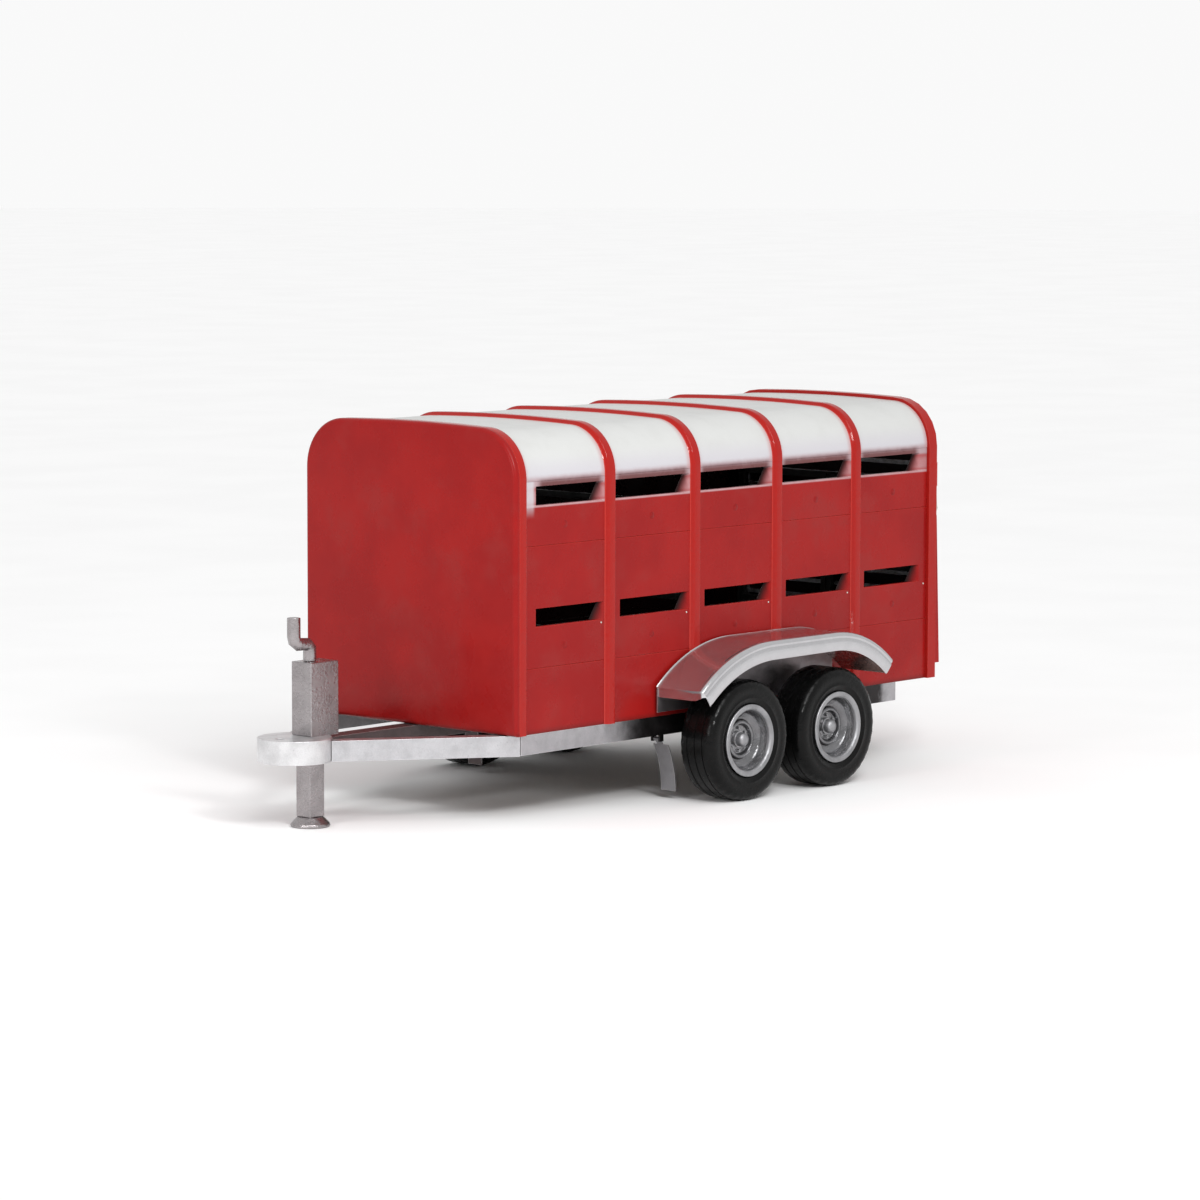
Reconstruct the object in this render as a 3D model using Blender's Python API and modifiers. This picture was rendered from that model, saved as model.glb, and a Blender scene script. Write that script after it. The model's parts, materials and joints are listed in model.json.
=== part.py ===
"""Twin-axle livestock trailer, full size, in metres.

+X points forward to the hitch, +Y to the left side, +Z up. The origin is on the ground, below the middle of
the overall length. The body stands on two box rails. The wheels run outside the body on rocking beams.
"""

import math

import bmesh
import bpy
from mathutils import Matrix, Vector

# Driving dimensions, in metres
GAP = 0.0003                 # between pieces that touch
OVERALL_LENGTH = 5.280
NOSE_REACH = 1.187           # hitch nose ahead of the front panel
BODY_LENGTH = 4.033
BODY_WIDTH = 1.780
BODY_BOTTOM = 0.532
BODY_HEIGHT = 1.848
CORNER_RADIUS = 0.310
ROOF_CAMBER = 0.012
HOOP_DEPTH = 0.022           # the hoops stand this far proud of the planks
PLANK_THICKNESS = 0.040
ROOF_THICKNESS = 0.014
FRONT_HOOP_END = 0.105       # measured back from the front face
FRONT_PANEL_THICKNESS = 0.040
HOOP_WIDTH = 0.078
BAYS = 5

SEAM_LOW = 0.927             # plank joints and vent slots, heights above the ground
SEAM_HIGH = 1.662
ROOF_EDGE = 2.050
LOW_SLOT = (1.178, 1.285)
HIGH_SLOT = (1.905, 2.018)
FIRST_SLOT_START = 0.100     # slot ends in a bay, measured back from the hoop ahead of it
LOW_SLOT_START = 0.065
HIGH_SLOT_START = 0.004
SLOT_END = 0.703
LAST_SLOT_END = 0.630
SLOT_SLANT = 0.055           # rear reveal of each slot, longer outside than inside

RAIL_BOTTOM = 0.412
RAIL_OUTER = 0.865
RAIL_WIDTH = 0.090
RAIL_START = 0.080           # measured back from the front face
RAIL_END = 3.650
RAIL_WALL = 0.006
FRAME_TOP = BODY_BOTTOM - GAP
ARM_WIDTH = 0.090
ARM_NOSE = (0.844, 0.196)    # two points on an arm's outer face, from the front face's centre
ARM_TAIL = (-0.053, 0.837)
SPINE_WIDTH = 0.120
SPINE_DEPTH = 0.092
CROSS_MEMBERS = (("front", 1.050, 0.08), ("axle", 2.158, 0.12), ("rear", 3.560, 0.08))  # place and width

HEAD_RADIUS = 0.224
HEAD_BOTTOM = 0.407
HEAD_TOP = 0.550
PIN_HOLE_RADIUS = 0.028
PIN_HOLE_AHEAD = 0.120       # pin hole ahead of the head's centre

JACK_AHEAD = 0.835           # jack axis ahead of the front face
JACK_TOP = 0.991
JACK_HOUSING = (0.230, 0.167)
JACK_HOUSING_BACK = 0.044    # housing centre behind the jack axis
LEG_SIDE = 0.120
LEG_WALL = 0.010
LEG_TOP = 0.675
FOOT_RADIUS = 0.120
FOOT_HEIGHT = 0.060
SCREW_RADIUS = 0.015
SCREW_BOTTOM = 0.356
CRANK_RADIUS = 0.040
CRANK_THROW = 0.130
CRANK_ARM = 0.108            # arm above the housing's top
CRANK_TOP = 1.262

WHEEL_RADIUS = 0.376
WHEEL_WIDTH = 0.272
WHEEL_OUTER = 1.260          # outer face of the tyres, from the centre plane
AXLE_BACK = (1.731, 2.585)   # axles behind the front face
HUB_BORE = 0.0312
STUB_RADIUS = 0.030
ROUND_STEPS = 24

BEAM_FACES = (0.872, 0.940)  # rocking beams, out from the centre plane
BEAM_END_RADIUS = 0.055
BEAM_DEPTH = 0.140           # at the pivot
BEAM_BORE = 0.0362
PIVOT_PIN_RADIUS = 0.035
BRACKET_TOP_HALF = 0.130
BRACKET_FOOT_HALF = 0.060

GUARD_OUTER = 1.274
GUARD_TOP = 0.980
GUARD_FLAT = (1.950, 2.561)  # the level part of the top, behind the front face
GUARD_RADII = (1.025, 0.850) # of the arcs ahead of it and behind it
GUARD_SWEEP = 41.6           # degrees that each arc turns down
GUARD_STEPS = 6
GUARD_SHEET = 0.008
GUARD_SKIRT = 0.120
GUARD_LIP = 0.060            # flange turned down at the front end
GUARD_EDGE_RADIUS = 0.030
SKIRT_FOCUS = -0.400         # the skirt folds down towards this height below the pivot
LINER_BOTTOM = 0.560         # arch liner below the mudguard, flat against the body
LINER_REAR = (0.700, 2.900)  # its rear corner's height, and its foot behind the front face
LINER_THICKNESS = 0.0085

TAIL_REACH = 0.060           # the ramp's foot stands this far behind the body
RAMP_BOTTOM = 0.625
RAMP_SHOULDER = 1.600         # up to here the ramp is wide and tapers; above, it is narrow and even
RAMP_TOP = 2.000
RAMP_HALF = 0.875
RAMP_TOP_HALF = 0.795
RAMP_TOP_THICKNESS = 0.022
RAMP_AXIS_HEIGHT = 0.600
RAMP_AXIS_BACK = 0.032       # behind the body's rear face
RAMP_ROD_RADIUS = 0.012
BATTEN_WINDOWS = 12          # footholds on the ramp's inner face: a frame with bars between windows
BATTEN_HALF = 0.740
BATTEN_BAR = 0.028
BATTEN_DEPTH = 0.018
LATCH_PIVOT = (0.845, 1.645) # out from the centre plane, and up
LATCH_PIN_RADIUS = 0.010

PORTAL_INNER = 0.800         # half the clear width of the rear portal
GATE_BOTTOM = 0.640
GATE_TOP = 1.840
GATE_THICKNESS = 0.030
GATE_WINDOWS = 4
GATE_HINGE_Y = 0.772
GATE_BACK = 3.990            # hinge lines behind the front face
DIVIDER_BACK = 1.637         # beside the third hoop, clear of the slots
DIVIDER_HINGE_Y = 0.790
HINGE_TUBE_RADIUS = 0.014

STAND_HINGE = (1.352, 0.386) # behind the front face, and up
STAND_EDGES = (0.770, 0.888)
STAND_TONGUE = (0.800, 0.845)
STAND_THICKNESS = 0.010
STAND_CURVE = (0.520, -0.330, 0.617)  # the strip's arc: centre behind and above the hinge, and radius
STAND_SWEEP = (147.6, 180.3)
STAND_PIN_RADIUS = 0.008

# Places that follow from them
FRONT = OVERALL_LENGTH / 2 - NOSE_REACH
REAR = FRONT - BODY_LENGTH
HALF = BODY_WIDTH / 2
TOP = BODY_BOTTOM + BODY_HEIGHT
SKIN_HALF = HALF - HOOP_DEPTH
PITCH = (BODY_LENGTH - FRONT_HOOP_END) / BAYS
PORTAL_FRONT = REAR + HOOP_WIDTH
JACK_X = FRONT + JACK_AHEAD
HEAD_X = OVERALL_LENGTH / 2 - HEAD_RADIUS
PIVOT_X = FRONT - sum(AXLE_BACK) / 2
WHEEL_Z = WHEEL_RADIUS
WHEEL_MID = WHEEL_OUTER - WHEEL_WIDTH / 2
FLOOR_TOP = BODY_BOTTOM + 0.030
SIDES = (("left", 1), ("right", -1))

# Planes for flat outlines: the outline's two axes and the direction of its thickness
ALONG_X = Matrix(((0, 0, 1), (1, 0, 0), (0, 1, 0)))
ALONG_Y = Matrix(((1, 0, 0), (0, 0, -1), (0, 1, 0)))
ALONG_Z = Matrix.Identity(3)


def clear_scene():
    for obj in list(bpy.data.objects):
        bpy.data.objects.remove(obj, do_unlink=True)


def collection(name):
    made = bpy.data.collections.new(name)
    bpy.context.scene.collection.children.link(made)
    return made


clear_scene()
PARTS = collection("livestock_trailer")
CUTTERS = collection("cutters")


def material(name, colour, roughness, metallic):
    made = bpy.data.materials.new(name)
    made.use_nodes = True
    shader = made.node_tree.nodes["Principled BSDF"]
    shader.inputs["Base Color"].default_value = (*colour, 1.0)
    shader.inputs["Roughness"].default_value = roughness
    shader.inputs["Metallic"].default_value = metallic
    return made


RED = material("red_paint", (0.40, 0.022, 0.018), 0.25, 0.0)
WHITE = material("white_roof_paint", (0.80, 0.81, 0.80), 0.40, 0.0)
SILVER = material("silver_frame", (0.62, 0.61, 0.63), 0.38, 0.9)
BLACK = material("black_steel", (0.02, 0.02, 0.02), 0.50, 0.3)
RUBBER = material("tyre_rubber", (0.012, 0.012, 0.012), 0.60, 0.0)
DECK = material("deck_boards", (0.16, 0.10, 0.06), 0.80, 0.0)
STEEL = material("bright_steel", (0.55, 0.55, 0.56), 0.30, 1.0)
LAMP_RED = material("lamp_lens", (0.45, 0.01, 0.01), 0.15, 0.0)


def mesh_object(name, mesh, mat, smooth=False):
    obj = bpy.data.objects.new(name, mesh)
    PARTS.objects.link(obj)
    mesh.materials.clear()
    mesh.materials.append(mat)
    if smooth:
        mesh.shade_smooth()
        mesh.set_sharp_from_angle(angle=math.radians(35))
    return obj


def box_mesh(name, size):
    bm = bmesh.new()
    bmesh.ops.create_cube(bm, size=1.0)
    bmesh.ops.scale(bm, vec=size, verts=bm.verts)
    mesh = bpy.data.meshes.new(name)
    bm.to_mesh(mesh)
    bm.free()
    return mesh


def box(name, low, high, mat):
    """A box between two corners, with its origin at its centre."""
    size = [b - a for a, b in zip(low, high)]
    obj = mesh_object(name, box_mesh(name, size), mat)
    obj.location = [(a + b) / 2 for a, b in zip(low, high)]
    return obj


def cylinder_mesh(name, radius, length, steps=ROUND_STEPS):
    """A cylinder along Z, from z = 0 to z = length."""
    bm = bmesh.new()
    bmesh.ops.create_cone(bm, cap_ends=True, segments=steps, radius1=radius, radius2=radius, depth=length)
    bmesh.ops.translate(bm, vec=(0, 0, length / 2), verts=bm.verts)
    mesh = bpy.data.meshes.new(name)
    bm.to_mesh(mesh)
    bm.free()
    return mesh


def evaluated_mesh(obj):
    """The welded mesh of an object as its modifiers or its curve leave it."""
    bpy.context.view_layer.update()
    graph = bpy.context.evaluated_depsgraph_get()
    mesh = bpy.data.meshes.new_from_object(obj.evaluated_get(graph))
    bm = bmesh.new()
    bm.from_mesh(mesh)
    bmesh.ops.remove_doubles(bm, verts=bm.verts, dist=0.00005)
    bm.to_mesh(mesh)
    bm.free()
    return mesh


def plate(name, loops, low, high, plane, mat):
    """A flat outline, with holes after the first loop, between two planes along its thickness."""
    curve = bpy.data.curves.new(name + "_outline", "CURVE")
    curve.dimensions = "2D"
    curve.fill_mode = "BOTH"
    curve.extrude = (high - low) / 2
    for loop in loops:
        spline = curve.splines.new("POLY")
        spline.points.add(len(loop) - 1)
        for point, (u, v) in zip(spline.points, loop):
            point.co = (u, v, 0, 1)
        spline.use_cyclic_u = True
    outline = bpy.data.objects.new(name + "_outline", curve)
    bpy.context.scene.collection.objects.link(outline)
    mesh = evaluated_mesh(outline)
    bpy.data.objects.remove(outline, do_unlink=True)
    shift = plane @ Vector((0, 0, 1))
    middle = (low + high) / 2
    if plane == ALONG_Y:
        shift = -shift
    mesh.transform(Matrix.Translation(shift * middle) @ plane.to_4x4())
    return mesh_object(name, mesh, mat)


def set_origin(obj, place):
    """Moves an object's origin to a place, leaving its shape where it is."""
    obj.data.transform(Matrix.Translation(obj.location - Vector(place)))
    obj.location = place


def as_cutter(obj):
    for parent in list(obj.users_collection):
        parent.objects.unlink(obj)
    CUTTERS.objects.link(obj)
    obj.hide_render = True
    obj.display_type = "WIRE"
    return obj


def boolean(obj, other, operation="DIFFERENCE"):
    step = obj.modifiers.new(operation.lower(), "BOOLEAN")
    step.operation = operation
    step.solver = "EXACT"
    step.object = as_cutter(other)


def arc(cu, cv, radius, start, end, steps):
    """Points on an arc, angles in degrees, both ends included."""
    points = []
    for k in range(steps + 1):
        a = math.radians(start + (end - start) * k / steps)
        points.append((cu + radius * math.cos(a), cv + radius * math.sin(a)))
    return points


def turned(name, profile, centre, axis, mat, steps=ROUND_STEPS):
    """A turned piece: (radius, height) points down the outer side, turned about an axis through centre."""
    mesh = bpy.data.meshes.new(name)
    count = len(profile)
    edges = [(k, k + 1) for k in range(count - 1)]
    if profile[0][0] > 0:
        edges.append((count - 1, 0))
    mesh.from_pydata([(r, 0, h) for r, h in profile], edges, [])
    obj = mesh_object(name, mesh, mat)
    screw = obj.modifiers.new("turn", "SCREW")
    screw.steps = steps
    screw.render_steps = steps
    screw.use_merge_vertices = True
    screw.merge_threshold = 0.00005
    screw.use_smooth_shade = True
    obj.location = centre
    obj.rotation_euler = Vector((0, 0, 1)).rotation_difference(Vector(axis)).to_euler()
    return obj


# The body's cross-section

def section(inset, base):
    """Points of an arch over the body, from the left foot to the right foot, inset from the outer line."""
    centre_y = HALF - CORNER_RADIUS
    centre_z = TOP - ROOF_CAMBER - CORNER_RADIUS
    radius = CORNER_RADIUS - inset
    left = [(HALF - inset, base)] + arc(centre_y, centre_z, radius, 0, 90, 6)
    crown = [(share * centre_y, TOP - inset - ROOF_CAMBER * share ** 2) for share in (0.5, 0.0, -0.5)]
    right = [(-y, z) for y, z in reversed(left)]
    return left + crown + right


def arch(name, back_from, back_to, outer, inner, base, mat):
    """An arch between two insets, and between two distances behind the front face."""
    loop = section(outer, base) + list(reversed(section(inner, base)))
    return plate(name, [loop], FRONT - back_to, FRONT - back_from, ALONG_X, mat)


def hoop_backs():
    """Front and rear edges of the six hoops, measured back from the front face."""
    spans = [(FRONT_PANEL_THICKNESS + GAP, FRONT_HOOP_END)]
    for k in range(1, BAYS + 1):
        rear = FRONT_HOOP_END + PITCH * k
        spans.append((rear - HOOP_WIDTH, rear))
    return spans


def body_shell():
    plate("front_panel", [section(0, BODY_BOTTOM)], FRONT - FRONT_PANEL_THICKNESS, FRONT, ALONG_X, RED)
    for k, (start, end) in enumerate(hoop_backs()):
        last = k == BAYS
        inner = HALF - PORTAL_INNER if last else HOOP_DEPTH - GAP
        hoop = arch(f"hoop_{k + 1}", start, end, 0, inner, BODY_BOTTOM, RED)
        if last:
            portal_fittings(hoop)
    skin_front = FRONT_PANEL_THICKNESS + GAP
    skin_rear = BODY_LENGTH - HOOP_WIDTH - GAP
    arch("roof_skin", skin_front, skin_rear, HOOP_DEPTH, HOOP_DEPTH + ROOF_THICKNESS, ROOF_EDGE, WHITE)
    for side, sign in SIDES:
        faces = sorted((sign * SKIN_HALF, sign * (SKIN_HALF - PLANK_THICKNESS)))
        for name, low, high, slot, slot_start in (
            ("lower", BODY_BOTTOM, SEAM_LOW, None, None),
            ("middle", SEAM_LOW + GAP, SEAM_HIGH, LOW_SLOT, LOW_SLOT_START),
            ("upper", SEAM_HIGH + GAP, ROOF_EDGE - GAP, HIGH_SLOT, HIGH_SLOT_START),
        ):
            plank = box(
                f"side_plank_{name}_{side}",
                (FRONT - skin_rear, faces[0], low),
                (FRONT - skin_front, faces[1], high),
                RED,
            )
            if slot:
                boolean(plank, slot_cutter(f"slots_{name}_{side}", sign, slot, slot_start))
            if side == "right" and name != "middle":
                level = GATE_TOP + 0.012 if name == "upper" else GATE_BOTTOM - 0.012
                wall = SKIN_HALF - PLANK_THICKNESS / 2
                hinge_lug(plank, (FRONT - DIVIDER_BACK, -DIVIDER_HINGE_Y, level), -wall)


def slot_cutter(name, sign, heights, start):
    """One slot in each bay, whose rear reveal slants, longer at the outer face."""
    outer = SKIN_HALF + 0.01
    inner = SKIN_HALF - PLANK_THICKNESS - 0.01
    loops = []
    for k in range(BAYS):
        hoop_rear = FRONT - FRONT_HOOP_END - PITCH * k
        ahead = hoop_rear - (FIRST_SLOT_START if k == 0 else start)
        behind = hoop_rear - (LAST_SLOT_END if k == BAYS - 1 else SLOT_END)
        loop = [
            (ahead, sign * inner),
            (ahead, sign * outer),
            (behind, sign * outer),
            (behind + SLOT_SLANT, sign * inner),
        ]
        loops.append(loop)
    return plate(name, loops, heights[0], heights[1], ALONG_Z, RED)


def hinge_lug(owner, eye, root_y):
    """A flat lug with an eye for a gate's hinge tube, joined to the piece at root_y."""
    x, y, z = eye
    half, reach = 0.011, 0.026
    low_y, high_y = sorted((y - math.copysign(reach, root_y), root_y))
    lug = box(f"lug_{owner.name}_{y:.1f}_{z:.1f}", (x - reach, low_y, z - half), (x + reach, high_y, z + half),
              RED)
    boolean(owner, lug, "UNION")
    bore = mesh_object(f"eye_{lug.name}", cylinder_mesh("eye", HINGE_TUBE_RADIUS + 0.001, 4 * half, 12), RED)
    bore.location = (x, y, z - 2 * half)
    boolean(owner, bore)


def rod_along_x(name, radius, start, length, y, z, steps=12):
    rod = mesh_object(name, cylinder_mesh(name, radius, length, steps), STEEL)
    rod.rotation_euler = (0, math.radians(90), 0)
    rod.location = (start, y, z)
    return rod


def rod_along_y(name, radius, low, high, x, z, steps=12):
    rod = mesh_object(name, cylinder_mesh(name, radius, high - low, steps), STEEL)
    rod.rotation_euler = (math.radians(-90), 0, 0)
    rod.location = (x, low, z)
    return rod


def portal_fittings(portal):
    """The rear gates' hinge eyes and the ramp latches' pins."""
    for side, sign in SIDES:
        for level in (GATE_BOTTOM - 0.012, GATE_TOP + 0.012):
            eye = (FRONT - GATE_BACK, sign * GATE_HINGE_Y, level)
            hinge_lug(portal, eye, sign * (PORTAL_INNER + 0.020))
        y, z = LATCH_PIVOT
        pin = rod_along_x(f"latch_pin_{side}", LATCH_PIN_RADIUS, REAR - 0.046, 0.060, sign * y, z)
        boolean(portal, pin, "UNION")


def floor_and_sill():
    inner = SKIN_HALF - PLANK_THICKNESS - GAP
    rear = PORTAL_FRONT + GAP
    front = FRONT - FRONT_PANEL_THICKNESS - GAP
    box("floor_deck", (rear, -inner, BODY_BOTTOM), (front, inner, FLOOR_TOP), DECK)
    half = PORTAL_INNER - GAP
    sill = box("rear_sill", (REAR, -half, BODY_BOTTOM), (PORTAL_FRONT, half, 0.595), RED)
    axis_x = REAR - RAMP_AXIS_BACK
    for k in range(4):
        y = -0.72 + 0.48 * k
        lug = box(f"sill_lug_{k}", (axis_x - 0.014, y - 0.02, RAMP_AXIS_HEIGHT - 0.018),
                  (REAR + 0.010, y + 0.02, RAMP_AXIS_HEIGHT + 0.014), RED)
        boolean(sill, lug, "UNION")
    rod = rod_along_y("ramp_rod", RAMP_ROD_RADIUS, -0.76, 0.76, axis_x, RAMP_AXIS_HEIGHT)
    boolean(sill, rod, "UNION")


# The chassis and the drawbar

def tube_loops(low_u, low_v, high_u, high_v, wall):
    """A box section's outline and its hollow."""
    outer = [(low_u, low_v), (high_u, low_v), (high_u, high_v), (low_u, high_v)]
    hollow = [
        (low_u + wall, low_v + wall),
        (high_u - wall, low_v + wall),
        (high_u - wall, high_v - wall),
        (low_u + wall, high_v - wall),
    ]
    return [outer, hollow]


def chassis():
    inner = RAIL_OUTER - RAIL_WIDTH
    for side, sign in SIDES:
        low_y, high_y = sorted((sign * RAIL_OUTER, sign * inner))
        loops = tube_loops(low_y, RAIL_BOTTOM, high_y, FRAME_TOP, RAIL_WALL)
        rail = plate(f"chassis_rail_{side}", loops, FRONT - RAIL_END, FRONT - RAIL_START, ALONG_X, SILVER)
        stand_hanger(rail, side, sign)
    reach = inner - GAP
    for name, back, width in CROSS_MEMBERS:
        x = FRONT - back
        loops = tube_loops(x - width / 2, RAIL_BOTTOM + 0.02, x + width / 2, FRAME_TOP, RAIL_WALL)
        plate(f"cross_member_{name}", loops, -reach, reach, ALONG_Y, SILVER)


def stand_hanger(rail, side, sign):
    """Two ears and a pin below the rail, for the prop stand."""
    x, z = FRONT - STAND_HINGE[0], STAND_HINGE[1]
    low, high = STAND_TONGUE
    for k, (start, end) in enumerate(((low - 0.014, low - 0.002), (high + 0.002, high + 0.014))):
        low_y, high_y = sorted((sign * start, sign * end))
        ear = box(f"ear_{k}_{side}", (x - 0.018, low_y, z - 0.016), (x + 0.018, high_y, RAIL_BOTTOM + 0.003),
                  SILVER)
        boolean(rail, ear, "UNION")
    low_y, high_y = sorted((sign * (low - 0.008), sign * (high + 0.008)))
    boolean(rail, rod_along_y(f"stand_pin_{side}", STAND_PIN_RADIUS, low_y, high_y, x, z), "UNION")


def drawbar():
    for side, sign in SIDES:
        outline = arm_outline(sign, 0.0, 0.0)
        arm = plate(f"drawbar_arm_{side}", [outline], HEAD_BOTTOM, FRAME_TOP, ALONG_Z, SILVER)
        hollow = plate(f"arm_hollow_{side}", [arm_outline(sign, RAIL_WALL, 0.05)], HEAD_BOTTOM + RAIL_WALL,
                       FRAME_TOP - RAIL_WALL, ALONG_Z, SILVER)
        boolean(arm, hollow)
        clearance = cylinder_mesh("head_clearance", HEAD_RADIUS + 0.003, 0.4, 48)
        cut = mesh_object(f"head_clearance_{side}", clearance, SILVER)
        cut.location = (HEAD_X, 0, 0.3)
        boolean(arm, cut)
    spine_front = HEAD_X - HEAD_RADIUS - 0.004
    half = SPINE_WIDTH / 2
    loops = tube_loops(-half, FRAME_TOP - SPINE_DEPTH, half, FRAME_TOP, RAIL_WALL)
    _, member_back, member_width = CROSS_MEMBERS[0]
    spine_rear = FRONT - member_back + member_width / 2 + GAP
    plate("drawbar_spine", loops, spine_rear, spine_front, ALONG_X, SILVER)
    head_loop = arc(0, 0, HEAD_RADIUS, 0, 345, 23)
    pin_hole = [(PIN_HOLE_AHEAD + u, v) for u, v in arc(0, 0, PIN_HOLE_RADIUS, 0, 337.5, 15)]
    half_leg = LEG_SIDE / 2 + 0.002
    leg_u = JACK_X - HEAD_X
    leg_hole = [
        (leg_u - half_leg, -half_leg),
        (leg_u + half_leg, -half_leg),
        (leg_u + half_leg, half_leg),
        (leg_u - half_leg, half_leg),
    ]
    head = plate("drawbar_head", [head_loop, pin_hole, leg_hole], HEAD_BOTTOM, HEAD_TOP, ALONG_Z, SILVER)
    head.location = (HEAD_X, 0, 0)


def arm_outline(sign, wall, stretch):
    """The plan of a drawbar arm from the head to the rail's front end, inset by wall, longer by stretch."""
    start = Vector(ARM_NOSE) + Vector((FRONT, 0))
    end = Vector(ARM_TAIL) + Vector((FRONT, 0))
    along = (end - start).normalized()
    inward = Vector((along.y, -along.x))
    if inward.y > 0:
        inward.negate()
    rail_front = FRONT - RAIL_START + GAP - stretch
    corners = []
    for depth in (wall, ARM_WIDTH - wall):
        base = start + inward * depth
        corners.append((base - along * (0.10 + stretch), base + along * ((rail_front - base.x) / along.x)))
    (nose, tail), (nose_in, tail_in) = corners
    return [(p.x, sign * p.y) for p in (nose, nose_in, tail_in, tail)]


def jack():
    length, width = JACK_HOUSING
    low_z = HEAD_TOP + GAP
    centre_x = JACK_X - JACK_HOUSING_BACK
    housing = box(
        "jack_housing",
        (centre_x - length / 2, -width / 2, low_z),
        (centre_x + length / 2, width / 2, JACK_TOP),
        SILVER,
    )
    half_leg = LEG_SIDE / 2 + 0.001
    bore = box("leg_bore", (JACK_X - half_leg, -half_leg, low_z - 0.01),
               (JACK_X + half_leg, half_leg, JACK_TOP - 0.014), SILVER)
    boolean(housing, bore)
    shaft_hole = mesh_object("shaft_hole", cylinder_mesh("shaft_hole", SCREW_RADIUS + 0.001, 0.05), SILVER)
    shaft_hole.location = (JACK_X, 0, JACK_TOP - 0.03)
    boolean(housing, shaft_hole)

    leg_low = FOOT_HEIGHT + GAP
    half = LEG_SIDE / 2
    leg = box("jack_leg", (JACK_X - half, -half, leg_low), (JACK_X + half, half, LEG_TOP), SILVER)
    inside = half - LEG_WALL
    hollow = box("leg_hollow", (JACK_X - inside, -inside, leg_low - 0.01),
                 (JACK_X + inside, inside, LEG_TOP - 0.03), SILVER)
    boolean(leg, hollow)
    nut_hole = mesh_object("nut_hole", cylinder_mesh("nut_hole", SCREW_RADIUS + 0.001, 0.08), SILVER)
    nut_hole.location = (JACK_X, 0, LEG_TOP - 0.05)
    boolean(leg, nut_hole)

    foot_profile = [
        (0, FOOT_HEIGHT),
        (0.078, FOOT_HEIGHT),
        (FOOT_RADIUS - 0.004, 0.022),
        (FOOT_RADIUS, 0.008),
        (FOOT_RADIUS - 0.006, 0),
        (0, 0),
    ]
    turned("jack_foot", foot_profile, (JACK_X, 0, 0), (0, 0, 1), SILVER)

    screw_top = JACK_TOP - 0.004
    screw_profile = [
        (0, screw_top),
        (SCREW_RADIUS, screw_top),
        (SCREW_RADIUS, SCREW_BOTTOM + 0.004),
        (0, SCREW_BOTTOM),
    ]
    turned("jack_screw", screw_profile, (JACK_X, 0, 0), (0, 0, 1), STEEL, 12)
    crank()


def crank():
    """The crank: up from the screw, forward along an arm, then up to the hand."""
    arm_z = JACK_TOP + CRANK_ARM
    route = [
        (0, 0, JACK_TOP + 0.002),
        (0, 0, arm_z - 0.030),
        (0.022, 0, arm_z - 0.004),
        (CRANK_THROW - 0.035, 0, arm_z),
        (CRANK_THROW - 0.008, 0, arm_z + 0.018),
        (CRANK_THROW, 0, arm_z + 0.050),
        (CRANK_THROW, 0, CRANK_TOP),
    ]
    curve = bpy.data.curves.new("crank_route", "CURVE")
    curve.dimensions = "3D"
    curve.bevel_depth = CRANK_RADIUS
    curve.bevel_resolution = 2
    curve.use_fill_caps = True
    spline = curve.splines.new("POLY")
    spline.points.add(len(route) - 1)
    for point, place in zip(spline.points, route):
        point.co = (*place, 1)
    rod = bpy.data.objects.new("crank_route", curve)
    bpy.context.scene.collection.objects.link(rod)
    mesh = evaluated_mesh(rod)
    bpy.data.objects.remove(rod, do_unlink=True)
    handle = mesh_object("jack_crank", mesh, SILVER, smooth=True)
    handle.location = (JACK_X, 0, 0)


# The running gear

def wheels():
    half = WHEEL_WIDTH / 2
    tyre_profile = [
        (0.250, half - 0.010),
        (0.310, half),
        (0.350, half - 0.005),
        (WHEEL_RADIUS - 0.004, half - 0.026),
        (WHEEL_RADIUS, half - 0.050),
        (WHEEL_RADIUS, 0.050 - half),
        (WHEEL_RADIUS - 0.004, 0.026 - half),
        (0.350, 0.005 - half),
        (0.310, -half),
        (0.250, 0.010 - half),
        (0.2035, 0.034 - half),
        (0.2035, half - 0.034),
    ]
    rim_profile = [
        (0.224, half - 0.002),
        (0.222, half - 0.011),
        (0.203, half - 0.031),
        (0.203, 0.031 - half),
        (0.224, 0.008 - half),
        (0.192, 0.030 - half),
        (0.190, -0.010),
        (0.045, 0.030),
        (0.045, 0.040),
        (0.105, 0.040),
        (0.194, 0.010),
        (0.198, half - 0.030),
    ]
    hub_profile = [
        (0, 0.098),
        (0.026, 0.094),
        (0.044, 0.072),
        (0.044, 0.0235),
        (0.090, 0.0100),
        (0.055, 0.0),
        (0.052, -0.120),
        (HUB_BORE, -0.120),
        (HUB_BORE, 0.030),
        (0, 0.030),
    ]
    for end, back in zip(("front", "rear"), AXLE_BACK):
        for side, sign in SIDES:
            centre = (FRONT - back, sign * WHEEL_MID, WHEEL_Z)
            axis = (0, sign, 0)
            turned(f"tyre_{end}_{side}", tyre_profile, centre, axis, RUBBER)
            turned(f"rim_{end}_{side}", rim_profile, centre, axis, SILVER)
            turned(f"hub_{end}_{side}", hub_profile, centre, axis, SILVER)


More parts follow.
